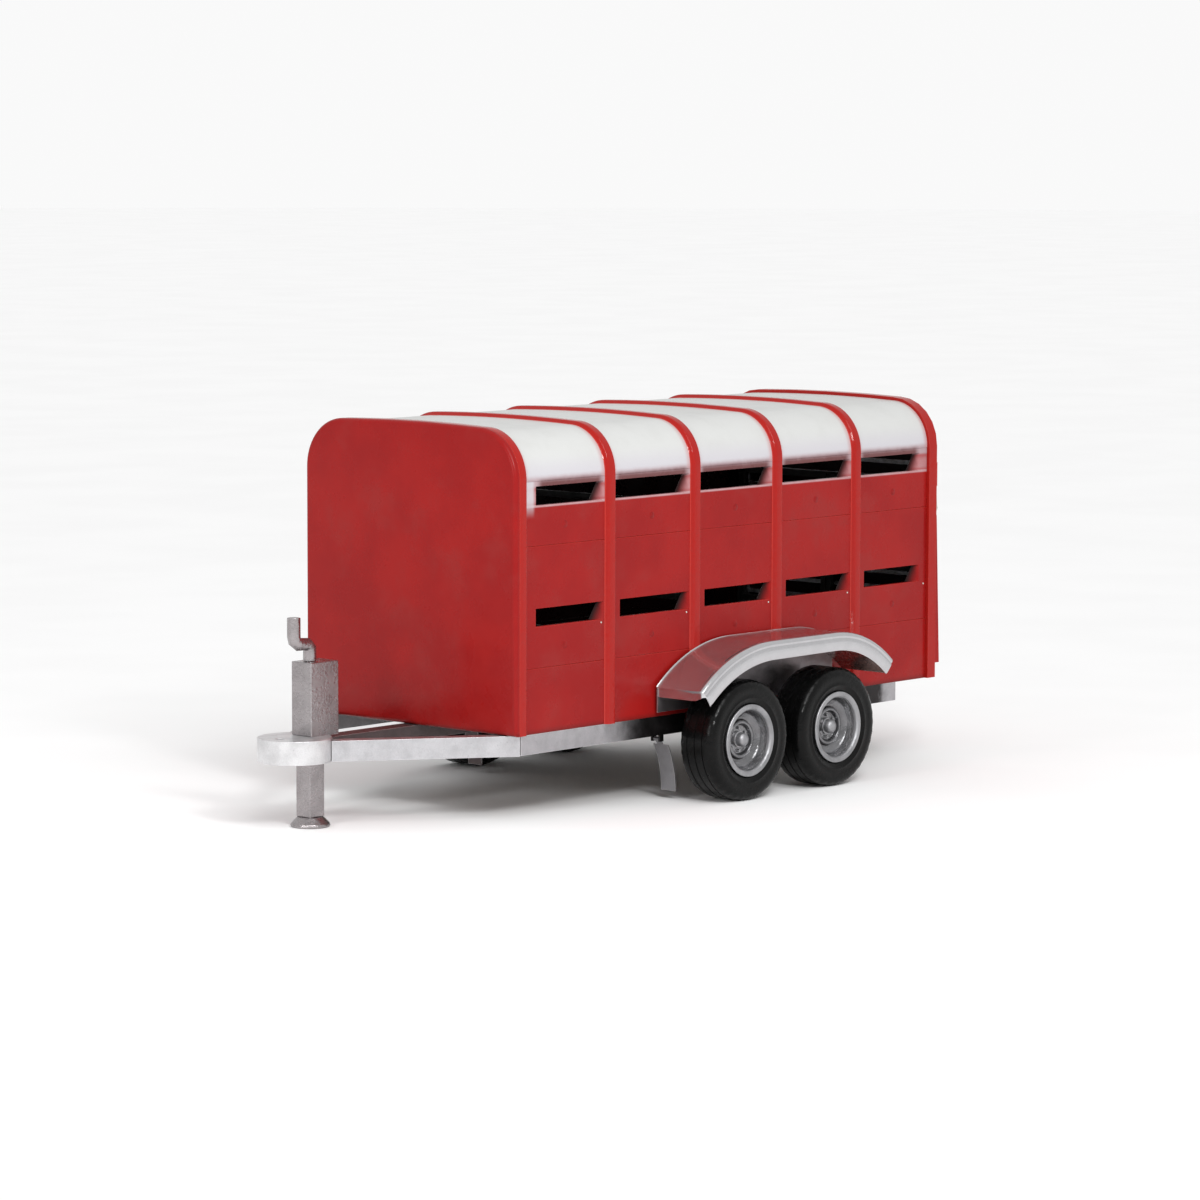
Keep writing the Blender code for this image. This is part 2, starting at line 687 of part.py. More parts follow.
def suspension():
    beam_low, beam_high = BEAM_FACES
    half_base = (AXLE_BACK[1] - AXLE_BACK[0]) / 2
    for side, sign in SIDES:
        low_y, high_y = sorted((sign * beam_low, sign * beam_high))
        loop = arc(-half_base, 0, BEAM_END_RADIUS, 90, 270, 6) + [(0, -BEAM_DEPTH / 2)]
        loop += arc(half_base, 0, BEAM_END_RADIUS, -90, 90, 6) + [(0, BEAM_DEPTH / 2)]
        hole = arc(0, 0, BEAM_BORE, 0, 345, 23)
        beam = plate(f"rocker_beam_{side}", [loop, hole], low_y, high_y, ALONG_Y, BLACK)
        beam.location = (PIVOT_X, 0, WHEEL_Z)
        for end, back in zip(("front", "rear"), AXLE_BACK):
            stub_length = WHEEL_MID + 0.020 - beam_high + 0.02
            stub = mesh_object(f"stub_{end}_{side}", cylinder_mesh("stub", STUB_RADIUS, stub_length), BLACK)
            stub.rotation_euler = (math.radians(-90 * sign), 0, 0)
            stub.location = (FRONT - back, sign * (beam_high - 0.02), WHEEL_Z)
            boolean(beam, stub, "UNION")

        low_y, high_y = sorted((sign * (RAIL_OUTER - RAIL_WIDTH), sign * (beam_low - 0.002)))
        top = RAIL_BOTTOM - GAP - WHEEL_Z
        foot = -BRACKET_FOOT_HALF
        shape = [(-BRACKET_TOP_HALF, top), (foot, foot), (-foot, foot), (BRACKET_TOP_HALF, top)]
        bracket = plate(f"pivot_bracket_{side}", [shape], low_y, high_y, ALONG_Y, BLACK)
        bracket.location = (PIVOT_X, 0, WHEEL_Z)
        pin_start = RAIL_OUTER - 0.05
        pin_length = beam_high + 0.012 - pin_start
        pin = mesh_object(f"pin_{side}", cylinder_mesh("pin", PIVOT_PIN_RADIUS, pin_length), BLACK)
        pin.rotation_euler = (math.radians(-90 * sign), 0, 0)
        pin.location = (PIVOT_X, sign * pin_start, WHEEL_Z)
        boolean(bracket, pin, "UNION")


def guard_point(flat_back, radius, slope):
    """A point of the mudguard's top line, where it slopes by this many degrees, with that slope."""
    a = math.radians(slope)
    return FRONT - flat_back + radius * math.sin(a), GUARD_TOP - radius * (1 - math.cos(a)), slope


def guard_line():
    """The mudguard's top line from front to rear, as (x, z, slope angle in degrees)."""
    turns = [GUARD_SWEEP * k / GUARD_STEPS for k in range(GUARD_STEPS + 1)]
    points = [guard_point(GUARD_FLAT[0], GUARD_RADII[0], slope) for slope in reversed(turns)]
    return points + [guard_point(GUARD_FLAT[1], GUARD_RADII[1], -slope) for slope in turns]


def mudguards():
    """A folded sheet: the top sheet, a rounded outer edge, a skirt and a front lip, with the arch liner."""
    line = guard_line()
    edge = GUARD_EDGE_RADIUS
    rounding = [(y, edge - z) for y, z in reversed(arc(GUARD_OUTER - edge, 0, edge, 0, 90, 3))]
    steps = [(HALF + 0.004, 0.0)] + rounding + [(GUARD_OUTER, GUARD_SKIRT)]
    for side, sign in SIDES:
        bm = bmesh.new()
        rows = []
        for y, drop in steps:
            row = []
            for x, z, _ in line:
                fold = Vector((PIVOT_X - x, SKIRT_FOCUS - z)).normalized() * drop
                row.append(bm.verts.new((x + fold.x, sign * y, z + fold.y)))
            rows.append(row)
        for row, following in zip(rows, rows[1:]):
            for k in range(len(row) - 1):
                quad = (row[k], following[k], following[k + 1], row[k + 1])
                bm.faces.new(quad if sign > 0 else tuple(reversed(quad)))
        mesh = bpy.data.meshes.new(f"mudguard_{side}")
        bm.to_mesh(mesh)
        bm.free()
        guard = mesh_object(f"mudguard_{side}", mesh, SILVER, smooth=True)
        sheet = guard.modifiers.new("sheet", "SOLIDIFY")
        sheet.thickness = GUARD_SHEET
        sheet.offset = -1.0
        front_x, front_z, _ = line[0]
        low_y, high_y = sorted((sign * (HALF + 0.004), sign * (GUARD_OUTER - edge)))
        lip = box(f"guard_lip_{side}", (front_x - 0.001 - GUARD_SHEET, low_y, front_z - GUARD_LIP),
                  (front_x - 0.001, high_y, front_z - 0.004), SILVER)
        boolean(guard, lip, "UNION")
        low_y, high_y = sorted((sign * (HALF + GAP), sign * (HALF + LINER_THICKNESS)))
        depth = GUARD_SHEET / 2
        under = []
        for x, z, slope in line[:2 * GUARD_STEPS]:
            a = math.radians(slope)
            under.append((x + depth * math.sin(a), z - depth * math.cos(a)))
        corner_z, foot_back = LINER_REAR
        loop = [(under[0][0], LINER_BOTTOM)] + under
        loop += [(under[-1][0], corner_z), (FRONT - foot_back, LINER_BOTTOM)]
        liner = plate(f"arch_liner_{side}", [loop], low_y, high_y, ALONG_Y, SILVER)
        boolean(guard, liner, "UNION")


def prop_stands():
    """A curved flat strip on each side, hung from the rail's pin, which folds forward and up."""
    hinge_x, hinge_z = FRONT - STAND_HINGE[0], STAND_HINGE[1]
    centre_x, centre_z, radius = STAND_CURVE
    sweep = arc(hinge_x + centre_x, hinge_z + centre_z, radius, *STAND_SWEEP, 8)
    for side, sign in SIDES:
        strip = stand_strip(f"prop_stand_{side}", sweep[1:], STAND_EDGES, sign)
        set_origin(strip, (hinge_x, 0, hinge_z))
        tongue = stand_strip(f"stand_tongue_{side}", sweep[:3], STAND_TONGUE, sign)
        boolean(strip, tongue, "UNION")
        low_y, high_y = sorted((sign * STAND_TONGUE[0], sign * STAND_TONGUE[1]))
        eye = (hinge_x, hinge_z)
        knuckle = rod_along_y(f"stand_knuckle_{side}", STAND_PIN_RADIUS + 0.006, low_y, high_y, *eye)
        boolean(strip, knuckle, "UNION")
        bore = rod_along_y(f"stand_bore_{side}", STAND_PIN_RADIUS + 0.001, low_y - 0.01, high_y + 0.01, *eye)
        boolean(strip, bore)


def stand_strip(name, line, edges, sign):
    low_y, high_y = sorted((sign * edges[0], sign * edges[1]))
    behind = [(x - STAND_THICKNESS, z) for x, z in line]
    return plate(name, [line + list(reversed(behind))], low_y, high_y, ALONG_Y, SILVER)


# The rear

def ramp():
    inner_x = REAR - GAP
    bottom_x = REAR - TAIL_REACH
    loop = [
        (inner_x, RAMP_BOTTOM),
        (inner_x, RAMP_SHOULDER),
        (inner_x - RAMP_TOP_THICKNESS, RAMP_SHOULDER),
        (bottom_x, RAMP_BOTTOM),
    ]
    panel = plate("ramp_panel", [loop], -RAMP_HALF, RAMP_HALF, ALONG_Y, RED)
    axis_x = REAR - RAMP_AXIS_BACK
    axis = (axis_x, 0, RAMP_AXIS_HEIGHT)
    set_origin(panel, axis)
    upper = box("ramp_upper", (inner_x - RAMP_TOP_THICKNESS, -RAMP_TOP_HALF, RAMP_SHOULDER - 0.010),
                (inner_x, RAMP_TOP_HALF, RAMP_TOP), RED)
    boolean(panel, upper, "UNION")
    for k in range(3):
        y = -0.48 + 0.48 * k
        shank = box(f"ramp_shank_{k}", (axis_x - 0.012, y - 0.05, RAMP_AXIS_HEIGHT),
                    (axis_x + 0.012, y + 0.05, RAMP_BOTTOM + 0.010), RED)
        boolean(panel, shank, "UNION")
        knuckle = rod_along_y(f"ramp_knuckle_{k}", RAMP_ROD_RADIUS + 0.009, y - 0.05, y + 0.05, axis_x,
                              RAMP_AXIS_HEIGHT)
        boolean(panel, knuckle, "UNION")
    bore = rod_along_y("ramp_bore", RAMP_ROD_RADIUS + 0.0015, -0.6, 0.6, axis_x, RAMP_AXIS_HEIGHT)
    boolean(panel, bore)

    heights = (RAMP_BOTTOM + 0.040, RAMP_TOP - 0.050)
    sides = (-BATTEN_HALF, BATTEN_HALF)
    faces = (REAR, REAR + BATTEN_DEPTH)
    battens = barred_plate("ramp_battens", sides, heights, BATTEN_WINDOWS, BATTEN_BAR, faces)
    set_origin(battens, axis)


def barred_plate(name, sides, heights, windows, bar, faces):
    """A plate across the body with a column of windows, so that bars are left between them."""
    (low_y, high_y), (low_z, high_z) = sides, heights
    loops = [[(low_y, low_z), (high_y, low_z), (high_y, high_z), (low_y, high_z)]]
    pitch = (high_z - low_z - bar) / windows
    for k in range(windows):
        low = low_z + bar + pitch * k
        high = low + pitch - bar
        loops.append([(low_y + bar, low), (high_y - bar, low), (high_y - bar, high), (low_y + bar, high)])
    return plate(name, loops, faces[0], faces[1], ALONG_X, SILVER)


def latches_and_lamps():
    y, z = LATCH_PIVOT
    for side, sign in SIDES:
        lever = [(-0.019, 0), (0.019, 0), (0.012, 0.115), (-0.012, 0.115)]
        blade = plate(f"ramp_latch_{side}", [lever], REAR - 0.040, REAR - 0.030, ALONG_X, STEEL)
        blade.location = (0, sign * y, z)
        boss = rod_along_x(f"latch_boss_{side}", 0.020, REAR - 0.044, 0.0435, sign * y, z, 16)
        boolean(blade, boss, "UNION")
        bore = rod_along_x(f"latch_bore_{side}", LATCH_PIN_RADIUS + 0.001, REAR - 0.06, 0.08, sign * y, z)
        boolean(blade, bore)
        low_y, high_y = sorted((sign * 0.813, sign * 0.877))
        box(f"rear_lamp_{side}", (REAR - 0.026, low_y, 1.790), (REAR - GAP, high_y, 1.950), LAMP_RED)


def gate(name, hinge, span):
    """A barred gate across the body, with a hinge tube at its outer edge."""
    x, hinge_y = hinge
    free_y = hinge_y - math.copysign(span, hinge_y)
    sides = sorted((hinge_y - math.copysign(0.012, hinge_y), free_y))
    half = GATE_THICKNESS / 2
    made = barred_plate(name, sides, (GATE_BOTTOM, GATE_TOP), GATE_WINDOWS, 0.040, (x - half, x + half))
    set_origin(made, (x, hinge_y, GATE_BOTTOM))
    tube_low, tube_high = GATE_BOTTOM - 0.030, GATE_TOP + 0.030
    rod = cylinder_mesh("tube", HINGE_TUBE_RADIUS, tube_high - tube_low, 12)
    tube = mesh_object(f"tube_{name}", rod, SILVER)
    tube.location = (x, hinge_y, tube_low)
    boolean(made, tube, "UNION")


def gates():
    for side, sign in SIDES:
        gate(f"rear_gate_{side}", (FRONT - GATE_BACK, sign * GATE_HINGE_Y), GATE_HINGE_Y - 0.004)
    gate("divider_gate", (FRONT - DIVIDER_BACK, -DIVIDER_HINGE_Y), DIVIDER_HINGE_Y + 0.800)


BUILDERS = (
    body_shell,
    floor_and_sill,
    chassis,
    drawbar,
    jack,
    wheels,
    suspension,
    mudguards,
    prop_stands,
    ramp,
    latches_and_lamps,
    gates,
)
for builder in BUILDERS:
    builder()
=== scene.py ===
"""The looks of the twin-axle livestock trailer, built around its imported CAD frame.

Metres, +X forward, +Y left, +Z up. Pieces take their places from the frame's boxes and from the few driving
dimensions below. Each piece rides on the CAD body that it belongs to.
"""

import json
import math
from contextlib import contextmanager

import bmesh
import bpy
from mathutils import Matrix, Vector

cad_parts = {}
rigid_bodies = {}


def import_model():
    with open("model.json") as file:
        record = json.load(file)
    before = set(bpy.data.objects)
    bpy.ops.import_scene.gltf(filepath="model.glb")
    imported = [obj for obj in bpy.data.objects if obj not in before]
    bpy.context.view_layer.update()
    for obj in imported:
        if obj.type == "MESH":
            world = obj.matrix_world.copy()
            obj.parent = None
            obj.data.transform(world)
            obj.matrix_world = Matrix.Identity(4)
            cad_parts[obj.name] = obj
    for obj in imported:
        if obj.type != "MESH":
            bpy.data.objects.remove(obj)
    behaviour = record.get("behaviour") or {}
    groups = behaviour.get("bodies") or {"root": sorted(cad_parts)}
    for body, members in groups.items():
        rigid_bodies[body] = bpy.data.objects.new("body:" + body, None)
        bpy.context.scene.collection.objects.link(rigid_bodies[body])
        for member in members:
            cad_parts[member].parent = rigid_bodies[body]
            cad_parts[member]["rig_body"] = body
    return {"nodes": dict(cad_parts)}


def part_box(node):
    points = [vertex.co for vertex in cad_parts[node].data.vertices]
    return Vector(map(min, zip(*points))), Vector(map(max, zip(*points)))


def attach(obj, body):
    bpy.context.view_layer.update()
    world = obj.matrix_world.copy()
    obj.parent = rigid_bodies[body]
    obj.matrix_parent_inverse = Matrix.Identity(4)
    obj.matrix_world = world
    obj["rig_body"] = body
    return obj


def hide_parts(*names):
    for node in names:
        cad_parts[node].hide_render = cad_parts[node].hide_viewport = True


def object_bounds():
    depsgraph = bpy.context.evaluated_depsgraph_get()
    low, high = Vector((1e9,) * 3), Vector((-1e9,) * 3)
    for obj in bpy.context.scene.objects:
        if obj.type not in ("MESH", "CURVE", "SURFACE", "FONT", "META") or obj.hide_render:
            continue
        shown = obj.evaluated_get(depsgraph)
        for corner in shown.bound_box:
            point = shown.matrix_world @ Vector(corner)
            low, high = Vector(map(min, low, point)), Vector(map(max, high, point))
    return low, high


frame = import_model()
CAD_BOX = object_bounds()

# Driving dimensions that the frame's boxes don't give: the body
CORNER_RADIUS = 0.310
CORNER_STEPS = 18
ROOF_CAMBER = 0.012
HOOP_DEPTH = 0.022
PLANK_THICKNESS = 0.040
ROOF_THICKNESS = 0.014
SEAM_GAP = 0.0003
PANEL_EDGE = 0.026
FACE_EASING = 0.0012

# Ventilation slots: bottom and top heights, and distances along X behind the hoop ahead
LOW_SLOT = (1.178, 1.285)
HIGH_SLOT = (1.905, 2.018)
FIRST_SLOT_START = 0.100
LOW_SLOT_START = 0.065
HIGH_SLOT_START = 0.004
SLOT_END = 0.703
LAST_SLOT_END = 0.630
REVEAL_TWIST = (0.100, 0.028)  # how far a rear reveal slants forwards, at the slot's bottom and top

# Fixings on the planks: a size is a radius and a height
BOLT_LEVELS = (1.780, 1.050)
BOLT_SIZE = (0.022, 0.003)
RIVET_SIZE = (0.0065, 0.004)
RIVET_BEHIND_HOOP = 0.028
RIVET_BELOW_SLOT = 0.020

# Ramp: the heights between which its outer face leans in, and its ribs and grips
RAMP_SLOPE = (0.625, 1.600)
RAMP_LEAN = 0.038
RIB_PLACES = (-0.51, -0.17, 0.17, 0.51)
RIB_LEVELS = (0.83, 1.53)
RIB_HALF = 0.030
RIB_STANDS = 0.006
FRAME_HALF = 0.026
GRIP_PLACES = (-0.42, 0.42)

# Wheels
AXLES_BACK = (1.731, 2.585)
TYRE_LUGS = 36
TYRE_LUG_DEPTH = 0.0035
WHEEL_NUTS = 6
NUT_CIRCLE = 0.070
NUT_SEAT = 0.033
NUT_SIZE = (0.010, 0.014)

# Mudguards: distances back from the front panel, heights and radii, and the sweep of each end in degrees
GUARD_OUTER = 1.274
GUARD_TOP = 0.980
GUARD_FLAT = (1.950, 2.561)
GUARD_RADII = (1.025, 0.850)
GUARD_SWEEP = 41.6
GUARD_STEPS = 18
GUARD_SHEET = 0.008
GUARD_SKIRT = 0.120
GUARD_LIP = 0.060
GUARD_EDGE_RADIUS = 0.034
SKIRT_FOCUS = -0.400
LINER_BOTTOM = 0.562
LINER_REAR = 2.956
INNER_SKIN_START = 2.350

# Studio and camera, with angles in degrees
SKY_STRENGTH = 0.74
BACKDROP_STRENGTH = 0.95
BACKDROP_RADIUS = 150.0
FLOOR_GAP = 0.0005
KEY_STRENGTH = 1.15
KEY_ANGLE = 35
KEY_FROM = (0.30, 0.62, 0.72)
SOFTBOXES = (
    # name, place, diameter, watts
    ("left_softbox", (4.5, 8.0, 6.5), 1.6, 260),
    ("front_softbox", (9.5, 1.5, 4.0), 1.4, 120),
)
CAMERA_PLACE = (21.626, 19.874, 4.348)
CAMERA_HEADING = 222.22
CAMERA_PITCH = -6.16
CAMERA_ROLL = 0.14
LENS_MM = 140.8
SENSOR_MM = 36.0

# Places read from the frame
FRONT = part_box("front_panel")[1].x
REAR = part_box("hoop_6")[0].x
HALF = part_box("front_panel")[1].y
BODY_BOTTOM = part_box("front_panel")[0].z
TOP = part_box("front_panel")[1].z
HOOPS = [(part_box(f"hoop_{k}")[1].x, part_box(f"hoop_{k}")[0].x) for k in range(1, 7)]
BAYS = len(HOOPS) - 1
RAMP_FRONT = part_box("ramp_panel")[1].x
RAMP_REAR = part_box("ramp_panel")[0].x
SKIN_HALF = HALF - HOOP_DEPTH
TYRE_LOW, TYRE_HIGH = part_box("tyre_front_left")
WHEEL_RADIUS = (TYRE_HIGH.z - TYRE_LOW.z) / 2
TYRE_HALF = (TYRE_HIGH.y - TYRE_LOW.y) / 2
SIDES = (("left", 1), ("right", -1))


# Meshes

@contextmanager
def editing(mesh):
    """A bmesh of a mesh, written back to it at the end."""
    bm = bmesh.new()
    bm.from_mesh(mesh)
    yield bm
    bm.to_mesh(mesh)
    bm.free()


def finished(bm, name):
    """A new mesh from a bmesh, which is freed."""
    mesh = bpy.data.meshes.new(name)
    bm.to_mesh(mesh)
    bm.free()
    return mesh


def smooth(mesh, angle):
    """Smooth shading, except along edges sharper than an angle in degrees."""
    mesh.shade_smooth()
    mesh.set_sharp_from_angle(angle=math.radians(angle))
    return mesh


def mesh_from(name, verts, faces, smooth_angle=None):
    """A mesh from points and faces, with its faces turned outwards."""
    mesh = bpy.data.meshes.new(name)
    mesh.from_pydata([tuple(v) for v in verts], [], faces)
    with editing(mesh) as bm:
        bmesh.ops.recalc_face_normals(bm, faces=bm.faces)
    return mesh if smooth_angle is None else smooth(mesh, smooth_angle)


def piece(mesh, body, mat, replaces=()):
    """An object named after its mesh, which rides on a body and may stand for CAD nodes."""
    obj = bpy.data.objects.new(mesh.name, mesh)
    bpy.context.scene.collection.objects.link(obj)
    mesh.materials.clear()
    mesh.materials.append(mat)
    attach(obj, body)
    if replaces:
        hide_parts(*replaces)
    return obj


def add_bevel(obj, width, segments, angle):
    """Round the edges that turn by more than an angle in degrees."""
    bevel = obj.modifiers.new("soft_edges", "BEVEL")
    bevel.width = width
    bevel.segments = segments
    bevel.limit_method = "ANGLE"
    bevel.angle_limit = math.radians(angle)
    bevel.harden_normals = True


def soften(node, width, mat, segments=3, angle=28):
    """A copy of a CAD node with clean flat faces and rounded edges, which stands for it."""
    source = frame["nodes"][node]
    bm = bmesh.new()
    bm.from_mesh(source.data)
    bmesh.ops.remove_doubles(bm, verts=bm.verts, dist=0.00008)
    bmesh.ops.dissolve_limit(bm, angle_limit=math.radians(1.0), verts=bm.verts, edges=bm.edges)
    mesh = smooth(finished(bm, f"{node}_finish"), angle)
    obj = piece(mesh, source["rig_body"], mat, (node,))
    add_bevel(obj, width, segments, angle)


def grid_faces(rows, columns, close_rows=False, close_columns=False):
    """Quads over a grid of rows x columns points."""
    faces = []
    for i in range(rows if close_rows else rows - 1):
        for j in range(columns if close_columns else columns - 1):
            a, b = i, (i + 1) % rows
            c, d = j, (j + 1) % columns
            faces.append((a * columns + c, a * columns + d, b * columns + d, b * columns + c))
    return faces


def lathe(name, profile, centre, axis, steps, smooth_angle):
    """A turned mesh: (radius, height) points, closed into a ring unless it starts and ends on the axis."""
    solid = profile[0][0] < 1e-6 and profile[-1][0] < 1e-6
    turn = Vector((0, 0, 1)).rotation_difference(Vector(axis)).to_matrix().to_4x4()
    place = Matrix.Translation(centre) @ turn
    verts = []
    for k in range(steps):
        a = 2 * math.pi * k / steps
        for r, h in profile:
            verts.append(place @ Vector((r * math.cos(a), r * math.sin(a), h)))
    faces = grid_faces(steps, len(profile), close_rows=True, close_columns=not solid)
    mesh = mesh_from(name, verts, faces)
    with editing(mesh) as bm:
        bmesh.ops.remove_doubles(bm, verts=bm.verts, dist=0.00001)
        bmesh.ops.dissolve_degenerate(bm, edges=bm.edges, dist=0.00001)
        bmesh.ops.recalc_face_normals(bm, faces=bm.faces)
    return smooth(mesh, smooth_angle)


def merge(name, meshes, smooth_angle=40):
    """Several meshes as one."""
    bm = bmesh.new()
    for mesh in meshes:
        bm.from_mesh(mesh)
    return smooth(finished(bm, name), smooth_angle)


def fillet(corner_a, corner, corner_b, radius, steps):
    """Points that round a corner of a profile, within almost half of each side."""
    c = Vector(corner)
    to_a, to_b = Vector(corner_a) - c, Vector(corner_b) - c
    u, v = to_a.normalized(), to_b.normalized()
    half = u.angle(v) / 2
    cut = min(radius / math.tan(half), to_a.length * 0.49, to_b.length * 0.49)
    start, end = c + u * cut, c + v * cut
    middle = c + (u + v).normalized() * (cut / math.cos(half))
    points = []
    for k in range(steps + 1):
        p = start.lerp(end, k / steps) - middle
        points.append(tuple(middle + p.normalized() * (start - middle).length))
    return points


def rounded(profile, radii, steps, closed=True):
    """A profile with its corners rounded, each by its own radius."""
    count = len(profile)
    points = []
    for k, corner in enumerate(profile):
        at_end = not closed and k in (0, count - 1)
        if at_end or radii[k] <= 0:
            points.append(tuple(corner))
            continue
        points += fillet(profile[k - 1], corner, profile[(k + 1) % count], radii[k], steps)
    return points


# The body's cross-section

def section(inset, base):
    """Points of an arch over the body, from the left foot to the right foot, inset from the outer line."""
    centre_y = HALF - CORNER_RADIUS
    centre_z = TOP - ROOF_CAMBER - CORNER_RADIUS
    radius = CORNER_RADIUS - inset
    left = [(HALF - inset, base), (HALF - inset, (base + centre_z) / 2)]
    for k in range(CORNER_STEPS + 1):
        a = math.radians(90 * k / CORNER_STEPS)
        left.append((centre_y + radius * math.cos(a), centre_z + radius * math.sin(a)))
    crown = []
    for k in range(1, 12):
        share = 1 - k / 6
        crown.append((share * centre_y, TOP - inset - ROOF_CAMBER * share ** 2))
    right = [(-y, z) for y, z in reversed(left)]
    return left + crown + right


def capped_loft(name, rows, smooth_angle):
    """A solid through closed rows of points, with its first and last rows filled."""
    count = len(rows[0])
    verts = [point for row in rows for point in row]
    faces = grid_faces(len(rows), count, close_columns=True)
    faces.append(tuple(range(count)))
    faces.append(tuple(range(len(verts) - count, len(verts))))
    return mesh_from(name, verts, faces, smooth_angle)


def arch_loft(name, profile, base):
    """A band that follows the arch: its profile is (x, inset) points round the band."""
    rings = [section(inset, base) for _, inset in profile]
    rows = [[(x, *point) for (x, _), point in zip(profile, points)] for points in zip(*rings)]
    return capped_loft(name, rows, 34)


def panel_loft(name, stations):
    """A closed slab across the body: (x, inset) stations from one face to the other, rounded all round."""
    rows = [[(x, *point) for point in section(inset, BODY_BOTTOM + inset)] for x, inset in stations]
    return capped_loft(name, rows, 40)


def slot_spans(start):
    """Each slot's front and rear ends, as x."""
    spans = []
    for k in range(BAYS):
        hoop_rear = HOOPS[k][1]
        ahead = hoop_rear - (FIRST_SLOT_START if k == 0 else start)
        behind = hoop_rear - (LAST_SLOT_END if k == BAYS - 1 else SLOT_END)
        spans.append((ahead, behind))
    return spans


# Materials

class Shader:
    """A material with a Principled shader, and short calls for the nodes that feed it."""

    def __init__(self, name, **values):
        self.material = bpy.data.materials.new(name)
        self.material.use_nodes = True
        self.tree = self.material.node_tree
        self.bsdf = self.tree.nodes["Principled BSDF"]
        for socket, value in values.items():
            self.bsdf.inputs[socket.replace("_", " ")].default_value = value
        self.coords = self.tree.nodes.new("ShaderNodeTexCoord").outputs["Object"]

    def node(self, kind, inputs=None, **settings):
        made = self.tree.nodes.new(kind)
        for key, value in settings.items():
            setattr(made, key, value)
        for key, value in (inputs or {}).items():
            self.feed(made.inputs[key], value)
        return made

    def feed(self, socket, value):
        if isinstance(value, bpy.types.NodeSocket):
            self.tree.links.new(value, socket)
        else:
            socket.default_value = value

    def stretched(self, x, y, z):
        mapping = self.node("ShaderNodeMapping", {"Vector": self.coords, "Scale": (x, y, z)})
        return mapping.outputs["Vector"]

    def noise(self, scale, detail=4.0, roughness=0.55, vector=None):
        made = self.node(
            "ShaderNodeTexNoise",
            {"Vector": vector or self.coords, "Scale": scale, "Detail": detail, "Roughness": roughness},
        )
        return made.outputs["Fac"]

    def remap(self, value, low, high, to_low=0.0, to_high=1.0):
        made = self.node(
            "ShaderNodeMapRange",
            {"Value": value, "From Min": low, "From Max": high, "To Min": to_low, "To Max": to_high},
            interpolation_type="SMOOTHSTEP",
        )
        return made.outputs["Result"]

    def math(self, operation, a, b=0.0):
        made = self.node("ShaderNodeMath", {0: a, 1: b}, operation=operation)
        return made.outputs[0]

    def times(self, a, b):
        return self.math("MULTIPLY", a, b)

    def axis(self, name):
        made = self.node("ShaderNodeSeparateXYZ", {"Vector": self.coords})
        return made.outputs[name]

    def distance(self, name, place):
        """How far a point is from a place along one axis."""
        return self.math("ABSOLUTE", self.math("SUBTRACT", self.axis(name), place))

    def across(self):
        """How far a point is from the trailer's middle plane."""
        return self.math("ABSOLUTE", self.axis("Y"))

    def facing(self, name):
        """A component of the surface's own normal."""
        normal = self.node("ShaderNodeNewGeometry").outputs["Normal"]
        return self.node("ShaderNodeSeparateXYZ", {"Vector": normal}).outputs[name]

    def mix(self, factor, a, b):
        made = self.node("ShaderNodeMix", data_type="RGBA")
        self.feed(made.inputs["Factor"], factor)
        self.feed(made.inputs["A"], a)
        self.feed(made.inputs["B"], b)
        return made.outputs["Result"]

    def edges(self, radius):
        """0 on flat faces and up to 1 along convex and concave edges."""
        soft = self.node("ShaderNodeBevel", {"Radius": radius}, samples=4)
        plain = self.node("ShaderNodeNewGeometry")
        dot = self.node(
            "ShaderNodeVectorMath",
            {0: soft.outputs["Normal"], 1: plain.outputs["Normal"]},
            operation="DOT_PRODUCT",
        )
        return self.remap(dot.outputs["Value"], 0.995, 0.85)

    def bump(self, height, strength, distance):
        made = self.node("ShaderNodeBump", {"Height": height, "Strength": strength, "Distance": distance})
        self.feed(self.bsdf.inputs["Normal"], made.outputs["Normal"])

    def set(self, **sockets):
        for socket, value in sockets.items():
            self.feed(self.bsdf.inputs[socket.replace("_", " ")], value)


def rgb(red, green, blue):
    return red, green, blue, 1.0


ENAMEL = rgb(0.315, 0.009, 0.008)
ENAMEL_DEEP = rgb(0.270, 0.007, 0.007)
ENAMEL_FADED = rgb(0.270, 0.020, 0.018)
# Painted highlight for the enamel's edges.
ENAMEL_EDGE_HIGHLIGHT = rgb(0.480, 0.040, 0.030)
# Painted shade for the faces inside the body.
ENAMEL_INSIDE_SHADE = rgb(0.012, 0.003, 0.003)
ENAMEL_GRIME = rgb(0.170, 0.018, 0.014)
# Painted shade along the body's foot, where it meets the rails.
ENAMEL_FOOT_SHADE = rgb(0.100, 0.010, 0.009)
RIB_ENAMEL = rgb(0.345, 0.011, 0.008)
ROOF_WHITE = rgb(0.575, 0.580, 0.570)
ROOF_TINT = rgb(0.545, 0.530, 0.560)
ROOF_DUST = rgb(0.490, 0.490, 0.475)
# Painted shade for the roof's underside inside the body.
ROOF_UNDERSIDE_SHADE = rgb(0.030, 0.026, 0.024)
WHITE_THINNED = rgb(0.400, 0.290, 0.310)
WHITE_BY_RIBS = rgb(0.500, 0.280, 0.280)
# White mist round the slots, and the line under each slot, which is overspray with a painted highlight.
WHITE_MIST_AND_HIGHLIGHT = rgb(0.500, 0.330, 0.345)
SLOT_BROWN = rgb(0.095, 0.016, 0.015)
# Painted highlight for the silver's edges.
SILVER_EDGE_HIGHLIGHT = rgb(0.860, 0.850, 0.860)
SILVER_PIT = rgb(0.070, 0.070, 0.075)
# Painted shade for the rail beside the wheels.
WHEEL_SHADOW = rgb(0.020, 0.017, 0.017)
# Painted shade for crevices.
CREVICE_SHADE = rgb(0.045, 0.038, 0.038)
INNER_FACE = SKIN_HALF - PLANK_THICKNESS + 0.0015
UNDER_ROOF = TOP - 0.22


